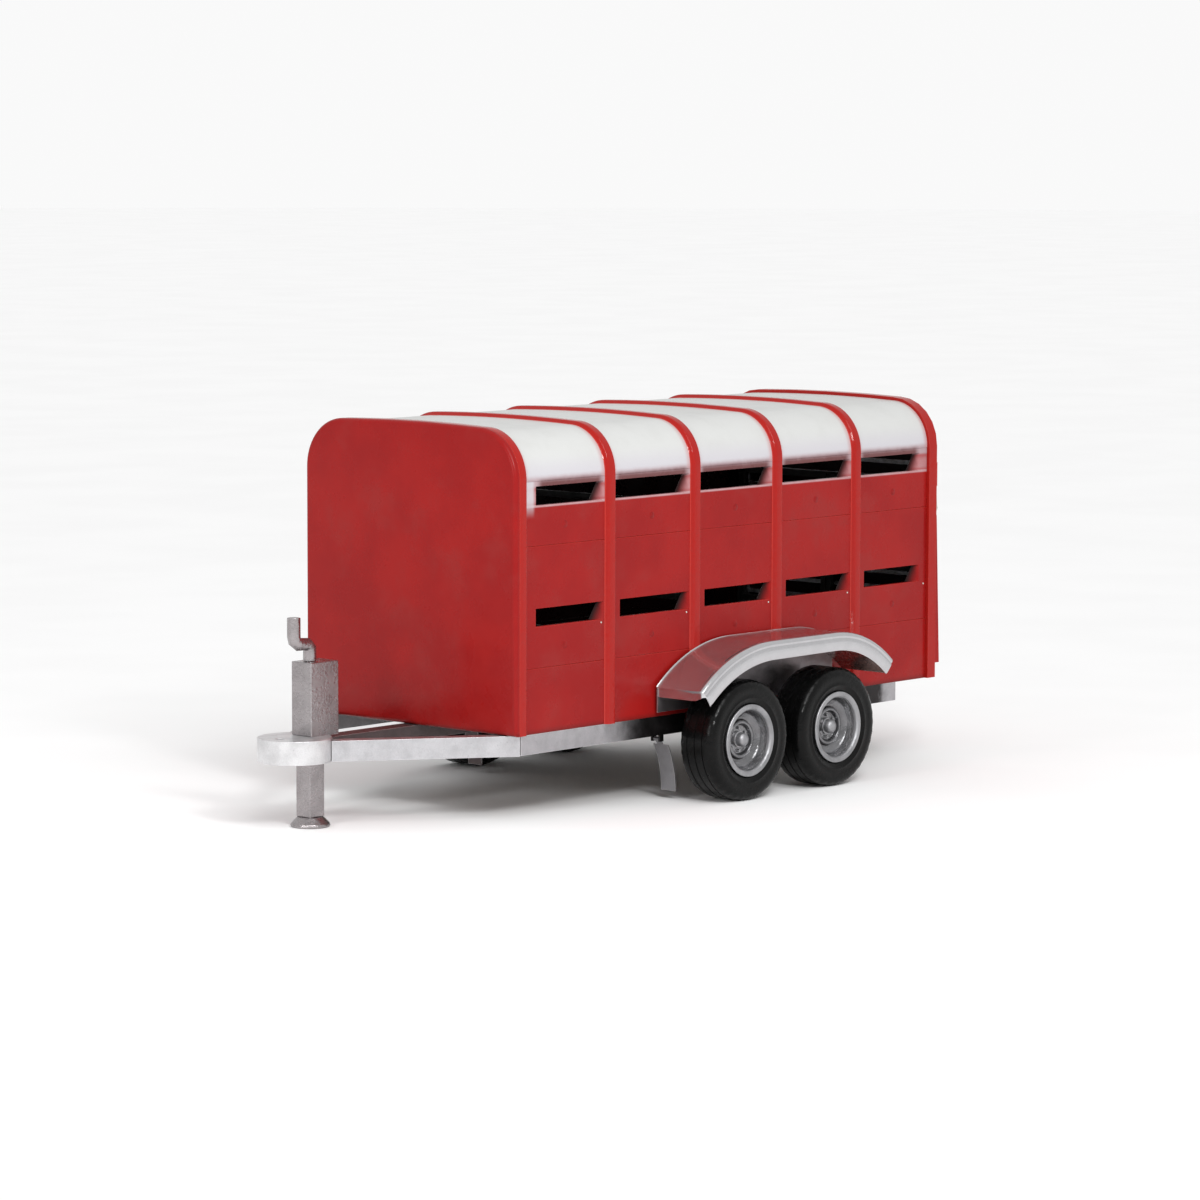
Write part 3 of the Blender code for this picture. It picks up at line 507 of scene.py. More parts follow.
def enamel_colour(shader):
    """Red enamel: a little uneven and faded over large areas, with a painted highlight along its edges and
    painted shade along its foot.
    """
    patches = shader.remap(shader.noise(1.9, 3.0), 0.35, 0.65)
    colour = shader.mix(patches, ENAMEL_DEEP, ENAMEL)
    faded = shader.remap(shader.noise(3.1, 5.0, 0.6), 0.48, 0.70)
    colour = shader.mix(shader.times(faded, 0.55), colour, ENAMEL_FADED)
    grime = shader.remap(shader.noise(11.0, 6.0, 0.65), 0.58, 0.80)
    colour = shader.mix(shader.times(grime, 0.20), colour, ENAMEL_GRIME)
    # Painted shade darkens the body's foot along the rails.
    foot = shader.remap(shader.axis("Z"), BODY_BOTTOM + 0.040, BODY_BOTTOM - 0.004, 0.0, 0.65)
    # A painted highlight brightens the enamel along its edges.
    colour = shader.mix(shader.times(shader.edges(0.009), 0.80), colour, ENAMEL_EDGE_HIGHLIGHT)
    return shader.mix(foot, colour, ENAMEL_FOOT_SHADE)


def enamel_shaded_inside(shader):
    """Red enamel on a plank, whose inner face is painted almost black as shade."""
    # Painted shade on the plank's inner face.
    inner = shader.remap(shader.across(), INNER_FACE + 0.036, INNER_FACE)
    return shader.mix(inner, enamel_colour(shader), ENAMEL_INSIDE_SHADE)


def overspray(shader, colour):
    """The white's lower edge: pinkish where it thins, and brown along the top of each upper slot."""
    level = shader.math("ADD", shader.axis("Z"), shader.times(shader.noise(20.0, 3.0), 0.010))
    thin = shader.remap(level, HIGH_SLOT[1] + 0.078, HIGH_SLOT[1] + 0.036)
    colour = shader.mix(thin, colour, WHITE_THINNED)
    over_slots = None
    for ahead, behind in slot_spans(HIGH_SLOT_START):
        half = (ahead - behind) / 2
        near = shader.remap(shader.distance("X", (ahead + behind) / 2), half + 0.004, half - 0.060)
        over_slots = shader.math("MAXIMUM", over_slots, near) if over_slots else near
    brown = shader.remap(level, HIGH_SLOT[1] + 0.062, HIGH_SLOT[1] + 0.018)
    return shader.mix(shader.times(brown, over_slots), colour, SLOT_BROWN)


def enamel_surface(shader):
    """Gloss that varies over large areas, with faint ripples and grain."""
    shader.set(Roughness=shader.remap(shader.noise(5.0, 5.0), 0.3, 0.7, 0.22, 0.36))
    ripples = shader.noise(22.0, 2.0)
    grain = shader.noise(260.0, 2.0)
    shader.bump(shader.math("ADD", ripples, shader.times(grain, 0.08)), 0.09, 0.010)


def shaded_inside(shader, colour):
    """The colour, painted almost black as shade on the faces inside the body."""
    between = shader.remap(shader.across(), INNER_FACE + 0.004, INNER_FACE)
    below = shader.remap(shader.axis("Z"), UNDER_ROOF, UNDER_ROOF - 0.02)
    behind = shader.remap(shader.axis("X"), FRONT - 0.036, FRONT - 0.039)
    ahead = shader.remap(shader.axis("X"), RAMP_FRONT - 0.012, RAMP_FRONT - 0.006)
    inside = shader.times(shader.times(between, below), shader.times(behind, ahead))
    return shader.mix(inside, colour, ENAMEL_INSIDE_SHADE)


def red_paint():
    shader = Shader("red_enamel", Specular_IOR_Level=0.16)
    shader.set(Base_Color=shaded_inside(shader, enamel_colour(shader)))
    enamel_surface(shader)
    return shader.material


def rib_paint():
    """The ribs' thicker, glossier coat."""
    shader = Shader("rib_enamel", Specular_IOR_Level=0.20)
    # A painted highlight brightens the ribs' edges.
    colour = shader.mix(shader.times(shader.edges(0.010), 0.8), RIB_ENAMEL, ENAMEL_EDGE_HIGHLIGHT)
    wear = shader.remap(shader.noise(14.0, 5.0, 0.65), 0.56, 0.76)
    colour = shader.mix(shader.times(wear, 0.35), colour, ENAMEL_FADED)
    shader.set(Base_Color=shaded_inside(shader, colour))
    shader.set(Roughness=shader.remap(shader.noise(9.0, 4.0), 0.3, 0.7, 0.09, 0.18))
    shader.bump(shader.noise(20.0, 3.0), 0.28, 0.010)
    return shader.material


def plank_paint():
    shader = Shader("plank_enamel", Specular_IOR_Level=0.16)
    shader.set(Base_Color=enamel_shaded_inside(shader))
    enamel_surface(shader)
    return shader.material


def side_paint():
    """Red enamel on the upper planks, with the roof's white sprayed down to the slots and around them, and a
    white line under each slot that is overspray with a painted highlight.
    """
    shader = Shader("side_enamel", Specular_IOR_Level=0.16)
    colour = enamel_shaded_inside(shader)
    height = shader.axis("Z")
    level = shader.math("ADD", height, shader.times(shader.noise(20.0, 3.0), 0.012))
    soft = shader.remap(shader.noise(12.0, 3.0), 0.25, 0.75, 0.75, 1.0)
    slot_bottom, slot_top = HIGH_SLOT
    above = shader.remap(level, slot_top - 0.012, slot_top + 0.012)
    colour = shader.mix(above, colour, overspray(shader, ROOF_TINT))
    outer = shader.remap(shader.across(), INNER_FACE + 0.004, SKIN_HALF - 0.001)
    # The line along each slot's lower edge is white overspray with a painted highlight.
    ledge_overspray_and_highlight = shader.times(shader.remap(shader.distance("Z", slot_bottom - 0.003), 0.013, 0.004), 0.85)
    mist = shader.remap(height, slot_bottom - 0.012, slot_bottom + 0.030)
    mist = shader.times(mist, shader.remap(height, slot_top + 0.002, slot_top - 0.050, 0.15, 0.62))
    mist = shader.times(shader.math("MAXIMUM", mist, ledge_overspray_and_highlight), shader.times(outer, soft))
    colour = shader.mix(mist, colour, WHITE_MIST_AND_HIGHLIGHT)
    near_front = shader.remap(shader.axis("X"), FRONT - 0.200, FRONT - 0.170, 0.0, 0.80)
    strip = shader.times(near_front, shader.remap(level, slot_bottom - 0.080, slot_bottom + 0.050))
    colour = shader.mix(shader.times(strip, outer), colour, ROOF_TINT)
    shader.set(Base_Color=colour)
    enamel_surface(shader)
    return shader.material


def bolt_paint():
    """Darker enamel, gathered round the bolt heads."""
    shader = Shader("bolt_enamel", Specular_IOR_Level=0.16)
    patches = shader.remap(shader.noise(30.0, 4.0), 0.35, 0.65)
    shader.set(Base_Color=shader.mix(patches, rgb(0.215, 0.007, 0.007), rgb(0.270, 0.009, 0.009)))
    enamel_surface(shader)
    return shader.material


def roof_paint():
    """Satin white: tinted towards its lower edges, where it fades out over the red, and painted dark
    underneath as shade.
    """
    shader = Shader("roof_white", Specular_IOR_Level=0.35)
    dust = shader.remap(shader.noise(5.0, 6.0, 0.6), 0.42, 0.75)
    colour = shader.mix(shader.times(dust, 0.30), ROOF_WHITE, ROOF_DUST)
    colour = shader.mix(shader.remap(shader.axis("Z"), 2.22, 2.08), colour, ROOF_TINT)
    colour = overspray(shader, colour)
    for ahead, behind in HOOPS:
        half = (ahead - behind) / 2
        beside = shader.remap(shader.distance("X", (ahead + behind) / 2), half + 0.045, half, 0.0, 0.65)
        colour = shader.mix(beside, colour, WHITE_BY_RIBS)
    # Painted shade: the roof's underside inside the body is painted almost black.
    under = shader.remap(shader.facing("Z"), -0.02, -0.10)
    inward = shader.math("SUBTRACT", SKIN_HALF - 0.004, shader.across())
    inner = shader.times(shader.remap(inward, 0.0, 0.004), under)
    colour = shader.mix(inner, colour, ROOF_UNDERSIDE_SHADE)
    shader.set(Base_Color=colour, Roughness=shader.remap(shader.noise(4.0, 5.0), 0.3, 0.7, 0.34, 0.52))
    shader.bump(shader.noise(60.0, 4.0), 0.06, 0.010)
    return shader.material


def cast_silver(name, tint, roughness, grain_scale, grain, spots,
                wheel_shade_span=None, inward=None, depth=0.025, mottle=1.0):
    """Bright silver over a slightly rough casting, with darker pits, a painted highlight along its edges and
    painted shade in its crevices.

    grain is how strong the casting's grain is, and spots how dark its pits are. wheel_shade_span gives the
    two places along X between which painted shade from the wheels thickens, inward the colour of painted
    shade on faces that look towards the trailer's middle, depth how far the painted shade in crevices
    reaches, and mottle how uneven the silver is.
    """
    shader = Shader(name, Metallic=0.90)
    mottling = shader.remap(shader.noise(9.0, 6.0, 0.62), 0.35, 0.70)
    dull = rgb(*((1 - 0.20 * mottle) * c for c in tint))
    colour = shader.mix(mottling, rgb(*tint), dull)
    speckle = shader.remap(shader.noise(grain_scale * 5.0, 2.0, 0.6), 0.35, 0.70)
    dark = rgb(*(0.55 * c for c in tint))
    colour = shader.mix(shader.times(speckle, 0.30 * mottle), colour, dark)
    pits = shader.remap(shader.noise(grain_scale * 1.4, 3.0, 0.7), 0.64, 0.76)
    colour = shader.mix(shader.times(pits, spots), colour, SILVER_PIT)
    # A painted highlight brightens the silver along its edges.
    colour = shader.mix(shader.times(shader.edges(0.006), 0.85), colour, SILVER_EDGE_HIGHLIGHT)
    # Painted shade from the wheels darkens the silver between two places along X and stops short of the rear.
    if wheel_shade_span:
        waver = shader.times(shader.noise(7.0, 5.0, 0.7), 0.22)
        along = shader.math("ADD", shader.axis("X"), waver)
        wheel_shade = shader.remap(along, wheel_shade_span[0] + 0.11, wheel_shade_span[1] + 0.11, 0.0, 0.97)
        clean = shader.remap(along, REAR + 0.72, REAR + 0.60)
        wheel_shade = shader.times(wheel_shade, shader.math("SUBTRACT", 1.0, clean))
        colour = shader.mix(wheel_shade, colour, WHEEL_SHADOW)
    # Painted shade on faces turned towards the trailer's middle.
    if inward:
        turned = shader.times(shader.facing("Y"), shader.axis("Y"))
        colour = shader.mix(shader.remap(turned, 0.10, -0.30), colour, inward)
    # Painted shade in crevices, from ambient occlusion.
    crevice = shader.node("ShaderNodeAmbientOcclusion", {"Distance": depth}, samples=6, only_local=True)
    hidden = shader.remap(crevice.outputs["AO"], 0.72, 0.30, 0.0, 0.75)
    gloss = shader.remap(shader.noise(14.0, 5.0), 0.3, 0.7, roughness - 0.06, roughness + 0.10)
    shader.set(Base_Color=shader.mix(hidden, colour, CREVICE_SHADE), Roughness=gloss)
    shader.bump(shader.noise(grain_scale, 5.0, 0.6), grain, 0.010)
    return shader.material


def black_paint():
    shader = Shader("black_chassis_paint", Specular_IOR_Level=0.35)
    dust = shader.remap(shader.noise(7.0, 6.0, 0.65), 0.45, 0.75)
    black = rgb(0.014, 0.014, 0.014)
    colour = shader.mix(shader.times(dust, 0.25), black, rgb(0.060, 0.052, 0.046))
    colour = shader.mix(shader.times(shader.edges(0.004), 0.5), colour, rgb(0.12, 0.12, 0.12))
    shader.set(Base_Color=colour, Roughness=shader.remap(shader.noise(12.0), 0.3, 0.7, 0.38, 0.60))
    shader.bump(shader.noise(70.0, 4.0), 0.15, 0.008)
    return shader.material


def tyre_rubber():
    shader = Shader("tyre_rubber", Specular_IOR_Level=0.16)
    scuff = shader.remap(shader.noise(16.0, 6.0, 0.7), 0.55, 0.80)
    rubber = rgb(0.003, 0.003, 0.003)
    colour = shader.mix(shader.times(scuff, 0.35), rubber, rgb(0.014, 0.013, 0.0125))
    shader.set(Base_Color=colour, Roughness=shader.remap(shader.noise(8.0, 5.0), 0.35, 0.70, 0.16, 0.36))
    pimples = shader.times(shader.noise(130.0, 3.0, 0.6), 0.30)
    shader.bump(shader.math("ADD", shader.noise(34.0, 4.0), pimples), 0.30, 0.006)
    return shader.material


def galvanised():
    """Zinc spangle: cells of slightly different grey, with streaks."""
    shader = Shader("galvanised_steel", Metallic=0.9)
    cells = shader.node("ShaderNodeTexVoronoi", {"Vector": shader.coords, "Scale": 38.0})
    value = shader.node("ShaderNodeSeparateColor", {"Color": cells.outputs["Color"]}).outputs["Red"]
    colour = shader.mix(shader.remap(value, 0.0, 1.0), rgb(0.42, 0.43, 0.45), rgb(0.60, 0.61, 0.63))
    stain = shader.remap(shader.noise(5.0, 6.0, 0.7), 0.50, 0.80)
    colour = shader.mix(shader.times(stain, 0.55), colour, rgb(0.22, 0.19, 0.16))
    shader.set(Base_Color=colour, Roughness=shader.remap(value, 0.0, 1.0, 0.34, 0.52))
    shader.bump(shader.noise(80.0, 3.0), 0.08, 0.005)
    return shader.material


def deck_boards():
    """Resin-faced ply with a raised grip pattern, scuffed and muddy."""
    shader = Shader("deck_boards", Specular_IOR_Level=0.3)
    grain = shader.noise(9.0, 6.0, 0.6, shader.stretched(0.25, 3.0, 1.0))
    colour = shader.mix(shader.remap(grain, 0.35, 0.65), rgb(0.080, 0.042, 0.024), rgb(0.150, 0.090, 0.052))
    mud = shader.remap(shader.noise(3.0, 7.0, 0.7), 0.50, 0.72)
    colour = shader.mix(shader.times(mud, 0.6), colour, rgb(0.24, 0.18, 0.12))
    shader.set(Base_Color=colour, Roughness=shader.remap(mud, 0.0, 1.0, 0.55, 0.85))
    grip = shader.node("ShaderNodeTexVoronoi", {"Vector": shader.coords, "Scale": 90.0})
    shader.bump(grip.outputs["Distance"], 0.35, 0.004)
    return shader.material


def bright_zinc():
    shader = Shader("bright_zinc", Metallic=1.0)
    streaks = shader.noise(30.0, 5.0, 0.6, shader.stretched(1.0, 1.0, 6.0))
    colour = shader.mix(shader.remap(streaks, 0.3, 0.7), rgb(0.58, 0.57, 0.52), rgb(0.74, 0.73, 0.69))
    shader.set(Base_Color=colour, Roughness=shader.remap(streaks, 0.3, 0.7, 0.22, 0.40))
    shader.bump(streaks, 0.05, 0.003)
    return shader.material


def lamp_lens():
    """Red lens, with fine upright flutes."""
    shader = Shader("lamp_lens", Specular_IOR_Level=0.6, Coat_Weight=0.5, Coat_Roughness=0.04)
    flutes = shader.node(
        "ShaderNodeTexWave", {"Vector": shader.coords, "Scale": 90.0, "Distortion": 0.0}, bands_direction="Y"
    ).outputs["Fac"]
    haze = shader.remap(shader.noise(30.0, 5.0), 0.45, 0.75)
    colour = shader.mix(flutes, rgb(0.36, 0.008, 0.008), rgb(0.62, 0.016, 0.012))
    colour = shader.mix(shader.times(haze, 0.2), colour, rgb(0.45, 0.20, 0.18))
    shader.set(Base_Color=colour, Roughness=shader.remap(haze, 0.0, 1.0, 0.08, 0.22))
    shader.bump(flutes, 0.4, 0.003)
    return shader.material


def floor_finish():
    shader = Shader("studio_floor", Roughness=0.9, Specular_IOR_Level=0.1)
    shade = shader.remap(shader.noise(0.6, 2.0), 0.3, 0.7)
    shader.set(Base_Color=shader.mix(shade, rgb(0.93, 0.93, 0.93), rgb(0.95, 0.95, 0.95)))
    return shader.material


def backdrop_finish():
    shader = Shader("backdrop", Roughness=1.0, Specular_IOR_Level=0.0, Emission_Strength=BACKDROP_STRENGTH)
    shader.set(Base_Color=rgb(0.0, 0.0, 0.0), Emission_Color=rgb(1.0, 1.0, 1.0))
    return shader.material


RED = red_paint()
RIB_RED = rib_paint()
PLANK_RED = plank_paint()
SIDE_RED = side_paint()
WHITE = roof_paint()
DISC_SILVER = cast_silver("disc_silver", (0.82, 0.815, 0.825), 0.36, 44.0, 0.30, 0.20)
JACK_SILVER = cast_silver("jack_silver", (0.395, 0.365, 0.370), 0.24, 48.0, 0.34, 0.35)
# The inward colours of the stands and arms are painted shade, and the arms' is tinted red as a painted
# reflection of the body.
STAND_SILVER = cast_silver("stand_silver", (0.42, 0.41, 0.43), 0.35, 40.0, 0.16, 0.30,
                           inward=rgb(0.040, 0.035, 0.036))
RAIL_SILVER = cast_silver("rail_silver", (0.50, 0.485, 0.505), 0.38, 40.0, 0.16, 0.35,
                          wheel_shade_span=(FRONT - 0.80, FRONT - 1.20))
ARM_SILVER = cast_silver("arm_silver", (0.62, 0.615, 0.635), 0.38, 40.0, 0.24, 0.35,
                         inward=rgb(0.070, 0.032, 0.028))
SHADED_SILVER = cast_silver("shaded_silver", (0.16, 0.13, 0.13), 0.45, 40.0, 0.22, 0.60)
RIM_SILVER = cast_silver("rim_silver", (0.44, 0.44, 0.455), 0.42, 60.0, 0.42, 0.80, mottle=1.7)
# The bowl's dark silver is a painted reflection of dark surroundings, and its wide crevice reach paints shade
# deep into the dish.
BOWL_SILVER = cast_silver("bowl_silver", (0.270, 0.270, 0.280), 0.13, 34.0, 0.34, 0.90,
                          depth=0.080, mottle=1.8)
GUARD_SILVER = cast_silver("guard_silver", (0.58, 0.575, 0.59), 0.13, 6.0, 0.015, 0.0,
                           depth=0.020, mottle=0.25)
# Painted shade with a painted reflection of the red body, for the mudguard's inner skin.
SKIN_SHADE_REFLECTION = cast_silver("skin_shade_reflection", (0.24, 0.12, 0.10), 0.22, 20.0, 0.05, 0.20)
LINER_SILVER = cast_silver("liner_silver", (0.30, 0.275, 0.285), 0.34, 40.0, 0.16, 0.40)
BOLT_RED = bolt_paint()
BLACK = black_paint()
RUBBER = tyre_rubber()
GALVANISED = galvanised()
DECK = deck_boards()
ZINC = bright_zinc()
LAMP = lamp_lens()


# Body

def body():
    """The front panel, the hoops, the roof and the side planks."""
    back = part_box("front_panel")[0].x
    stations = [(back, FACE_EASING), (back + FACE_EASING, 0)]
    for k in range(7):
        a = math.radians(90 * k / 6)
        stations.append((FRONT - PANEL_EDGE + PANEL_EDGE * math.sin(a), PANEL_EDGE * (1 - math.cos(a))))
    piece(panel_loft("front_panel_skin", stations), "root", RED, ("front_panel",))
    foot = HOOP_DEPTH - SEAM_GAP
    for k, (ahead, behind) in enumerate(HOOPS[:-1]):
        if k == 0:
            corners = [(ahead, foot), (ahead, 0), (behind, 0), (behind, foot)]
            radii = [0, FACE_EASING, 0.010, 0]
        else:
            corners = [(ahead, foot), (ahead - 0.004, foot - 0.003), (ahead - 0.020, 0), (behind, 0),
                       (behind, foot)]
            radii = [0, 0.006, 0.014, 0.007, 0]
        mesh = arch_loft(f"hoop_{k + 1}_skin", rounded(corners, radii, 4), BODY_BOTTOM)
        piece(mesh, "root", RIB_RED, (f"hoop_{k + 1}",))
    soften("hoop_6", 0.007, RIB_RED, 3, 40)
    low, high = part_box("roof_skin")
    under = HOOP_DEPTH + ROOF_THICKNESS
    corners = [(high.x, HOOP_DEPTH), (low.x, HOOP_DEPTH), (low.x, under), (high.x, under)]
    piece(arch_loft("roof_sheet", corners, low.z), "root", WHITE, ("roof_skin",))
    for side, sign in SIDES:
        plank(f"side_plank_lower_{side}", sign, None, None)
        plank(f"side_plank_middle_{side}", sign, LOW_SLOT, LOW_SLOT_START)
        plank(f"side_plank_upper_{side}", sign, HIGH_SLOT, HIGH_SLOT_START)


def plank(node, sign, slot, start):
    """A side plank as a thick grid with holes for its slots, whose rear reveals twist as they go in."""
    low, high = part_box(node)
    heights = [low.z, high.z]
    spans = []
    if slot:
        heights = [low.z, slot[0], slot[1], high.z]
        spans = slot_spans(start)
    outer_x = [high.x]
    for ahead, behind in spans:
        outer_x += [ahead, behind]
    outer_x.append(low.x)
    rows, columns = len(heights), len(outer_x)
    verts = []
    for depth in (0.0, PLANK_THICKNESS):
        y = sign * (SKIN_HALF - depth)
        for i, z in enumerate(heights):
            for j, x in enumerate(outer_x):
                shift = 0.0
                if depth and 0 < j < columns - 1 and j % 2 == 0:
                    shift = REVEAL_TWIST[0 if i <= 1 else 1]
                verts.append((x + shift, y, z))
    layer = rows * columns
    holes = {(1, 1 + 2 * k) for k in range(len(spans))}
    faces = []
    for i in range(rows - 1):
        for j in range(columns - 1):
            if (i, j) in holes:
                continue
            quad = [i * columns + j, i * columns + j + 1, (i + 1) * columns + j + 1, (i + 1) * columns + j]
            faces.append(tuple(quad))
            faces.append(tuple(layer + q for q in reversed(quad)))
    loops = [[(0, j) for j in range(columns)] + [(i, columns - 1) for i in range(1, rows)]
             + [(rows - 1, j) for j in range(columns - 2, -1, -1)] + [(i, 0) for i in range(rows - 2, 0, -1)]]
    loops += [[(i, j), (i, j + 1), (i + 1, j + 1), (i + 1, j)] for i, j in holes]
    for loop in loops:
        for (i0, j0), (i1, j1) in zip(loop, loop[1:] + loop[:1]):
            a, b = i0 * columns + j0, i1 * columns + j1
            faces.append((a, b, layer + b, layer + a))
    mesh = mesh_from(f"{node}_skin", verts, faces)
    with editing(mesh) as bm:
        bmesh.ops.dissolve_limit(bm, angle_limit=math.radians(1), verts=bm.verts, edges=bm.edges)
    paint = SIDE_RED if slot == HIGH_SLOT else PLANK_RED
    obj = piece(smooth(mesh, 30), "root", paint, (node,))
    add_bevel(obj, 0.0045, 3, 24)


def dome(name, size, centre, axis):
    """A shallow round head on a surface."""
    radius, height = size
    profile = [(0, height), (radius * 0.45, height * 0.92), (radius * 0.80, height * 0.60), (radius, 0.0),
               (radius, -0.001), (0, -0.001)]
    return lathe(name, profile, centre, axis, 20, 60)


def fixings():
    """Painted bolt heads in the middle of each bay, and a small plain rivet behind each lower slot."""
    for side, sign in SIDES:
        axis = Vector((0, sign, 0))
        bolts, rivets = [], []
        for k in range(BAYS):
            middle = (HOOPS[k][1] + HOOPS[k + 1][0]) / 2
            for z in BOLT_LEVELS:
                bolts.append(dome("bolt", BOLT_SIZE, Vector((middle, sign * SKIN_HALF, z)), axis))
            x = HOOPS[k + 1][0] + RIVET_BEHIND_HOOP
            place = Vector((x, sign * SKIN_HALF, LOW_SLOT[0] - RIVET_BELOW_SLOT))
            rivets.append(dome("rivet", RIVET_SIZE, place, axis))
        piece(merge(f"plank_bolts_{side}", bolts), "root", BOLT_RED)
        piece(merge(f"plank_rivets_{side}", rivets), "root", ZINC)


def block(name, low, high, width):
    """A box between two corners, with rounded edges."""
    bm = bmesh.new()
    bmesh.ops.create_cube(bm, size=1.0)
    size = Vector(high) - Vector(low)
    bmesh.ops.scale(bm, vec=size, verts=bm.verts)
    bmesh.ops.translate(bm, vec=(Vector(low) + Vector(high)) / 2, verts=bm.verts)
    bmesh.ops.bevel(bm, geom=list(bm.edges), offset=width, segments=3, affect="EDGES", profile=0.5)
    return finished(bm, name)


def on_ramp(mesh):
    """Lay a mesh, drawn with its foot at x = 0, on the ramp's outer face, which leans up to its shoulder."""
    foot, shoulder = RAMP_SLOPE
    for vert in mesh.vertices:
        share = min(max((vert.co.z - foot) / (shoulder - foot), 0.0), 1.0)
        vert.co.x += RAMP_REAR + share * RAMP_LEAN
    return mesh


def ramp_details():
    """Ribs on the ramp's outer face, a frame round its lower and its upper part, and two grab handles."""
    foot, top = RIB_LEVELS
    bars = []  # the (y, z) of each bar's low and high corners
    for y in RIB_PLACES:
        bars.append(((y - RIB_HALF, foot), (y + RIB_HALF, top)))
    for y in (-0.840, 0.840):
        bars.append(((y - FRAME_HALF, 0.81), (y + FRAME_HALF, 1.56)))
    for z in RIB_LEVELS:
        bars.append(((-0.83, z - FRAME_HALF), (0.83, z + FRAME_HALF)))
    for y in (-0.762, 0.762):
        bars.append(((y - FRAME_HALF, 1.64), (y + FRAME_HALF, 1.975)))
    bars.append(((-0.78, 1.925), (0.78, 1.975)))
    bars.append(((-0.78, 1.630), (0.78, 1.680)))
    ribs = [block("rib", (-RIB_STANDS, *low), (0.002, *high), 0.0035) for low, high in bars]
    piece(merge("ramp_outer_ribs", [on_ramp(rib) for rib in ribs], 35), "ramp", RED)
    grips = []
    for y in GRIP_PLACES:
        grips.append(block("grip", (-0.036, y - 0.085, 1.795), (-0.024, y + 0.085, 1.809), 0.005))
        for end in (y - 0.078, y + 0.078):
            grips.append(block("foot", (-0.030, end - 0.007, 1.796), (0.002, end + 0.007, 1.808), 0.004))
    piece(merge("ramp_grips", [on_ramp(grip) for grip in grips], 35), "ramp", ZINC)


# Running gear

def tyre_mesh(name, centre, axis):
    """A tyre with three tread grooves, and shallow lugs round each shoulder."""
    half = TYRE_HALF
    radius = WHEEL_RADIUS
    grooves = []
    for y in (0.060, 0.0, -0.060):
        grooves += [(radius, y + 0.0050), (radius - 0.004, y + 0.0035), (radius - 0.004, y - 0.0035),
                    (radius, y - 0.0050)]
    outer_wall = [(0.2035, half - 0.034), (0.222, half - 0.020), (0.232, half - 0.013), (0.240, half - 0.010),
                  (0.258, half - 0.005), (0.262, half - 0.002), (0.268, half - 0.002), (0.272, half - 0.004),
                  (0.300, half - 0.001), (0.318, half), (0.336, half - 0.002), (0.350, half - 0.006),
                  (0.361, half - 0.013), (0.369, half - 0.023), (0.374, half - 0.036), (radius, half - 0.050)]
    inner_wall = [(r, -y) for r, y in reversed(outer_wall)]
    mesh = lathe(name, outer_wall + grooves + inner_wall, centre, axis, 144, 50)
    for vert in mesh.vertices:
        arm = vert.co - centre
        across = abs(arm.y)
        arm.y = 0
        if 0.340 < arm.length < radius - 0.001 and across > half - 0.045:
            lug = 0.5 - 0.5 * math.cos(TYRE_LUGS * math.atan2(arm.z, arm.x))
            vert.co -= arm.normalized() * TYRE_LUG_DEPTH * lug
    return mesh


def rim_mesh(name, centre, axis):
    """The barrel with its wide flange."""
    half = TYRE_HALF
    face = rounded(
        [(0.216, half - 0.030), (0.226, half - 0.006), (0.221, half - 0.001), (0.199, half - 0.002),
         (0.190, half - 0.010), (0.186, half - 0.022)],
        [0, 0.004, 0.004, 0.006, 0.006, 0], 4, closed=False)
    back = [(0.184, 0.074), (0.188, 0.010), (0.192, 0.030 - half), (0.222, 0.010 - half),
            (0.224, 0.004 - half), (0.218, 0.006 - half), (0.203, 0.031 - half), (0.203, half - 0.031)]
    return lathe(name, face + back, centre, axis, 96, 50)


def bowl_mesh(name, centre, axis):
    """The dished centre: a deep bowl, a raised ring and a sunk seat for the nuts."""
    face = rounded(
        [(0.1862, TYRE_HALF - 0.023), (0.184, 0.090), (0.170, 0.058), (0.140, 0.040), (0.124, 0.036),
         (0.118, 0.060), (0.100, 0.064), (0.088, 0.032), (0.045, 0.030)],
        [0, 0.012, 0.030, 0.020, 0.008, 0.010, 0.010, 0.008, 0], 6, closed=False)
    back = [(0.045, 0.022), (0.120, 0.022), (0.165, 0.036), (0.1838, 0.0738)]
    return lathe(name, face + back, centre, axis, 96, 50)


def hub_mesh(name, centre, axis):
    """The hub with its domed cap, bored for the stub axle."""
    profile = [(0, 0.098), (0.012, 0.0975), (0.024, 0.0945), (0.034, 0.089), (0.040, 0.081), (0.043, 0.071),
               (0.044, 0.060), (0.044, 0.046), (0.049, 0.045), (0.050, 0.040), (0.050, 0.0312),
               (0.044, 0.0305), (0.044, 0.0235), (0.058, 0.020), (0.055, -0.004), (0.052, -0.118),
               (0.050, -0.120), (0.0315, -0.120), (0.0315, 0.030), (0, 0.030)]
    return lathe(name, profile, centre, axis, 64, 35)


def hexagon(name, size, centre, axis, turn):
    """A nut: a hexagonal prism with softened edges."""
    radius, height = size
    bm = bmesh.new()
    bmesh.ops.create_cone(bm, cap_ends=True, segments=6, radius1=radius, radius2=radius, depth=height)
    bmesh.ops.bevel(bm, geom=list(bm.edges), offset=radius * 0.12, segments=2, affect="EDGES", profile=0.6)
    rotation = Vector((0, 0, 1)).rotation_difference(Vector(axis)).to_matrix().to_4x4()
    spin = Matrix.Rotation(turn, 4, "Z")
    lift = Matrix.Translation((0, 0, height / 2))
    bmesh.ops.transform(bm, matrix=Matrix.Translation(centre) @ rotation @ spin @ lift, verts=bm.verts)
    return finished(bm, name)


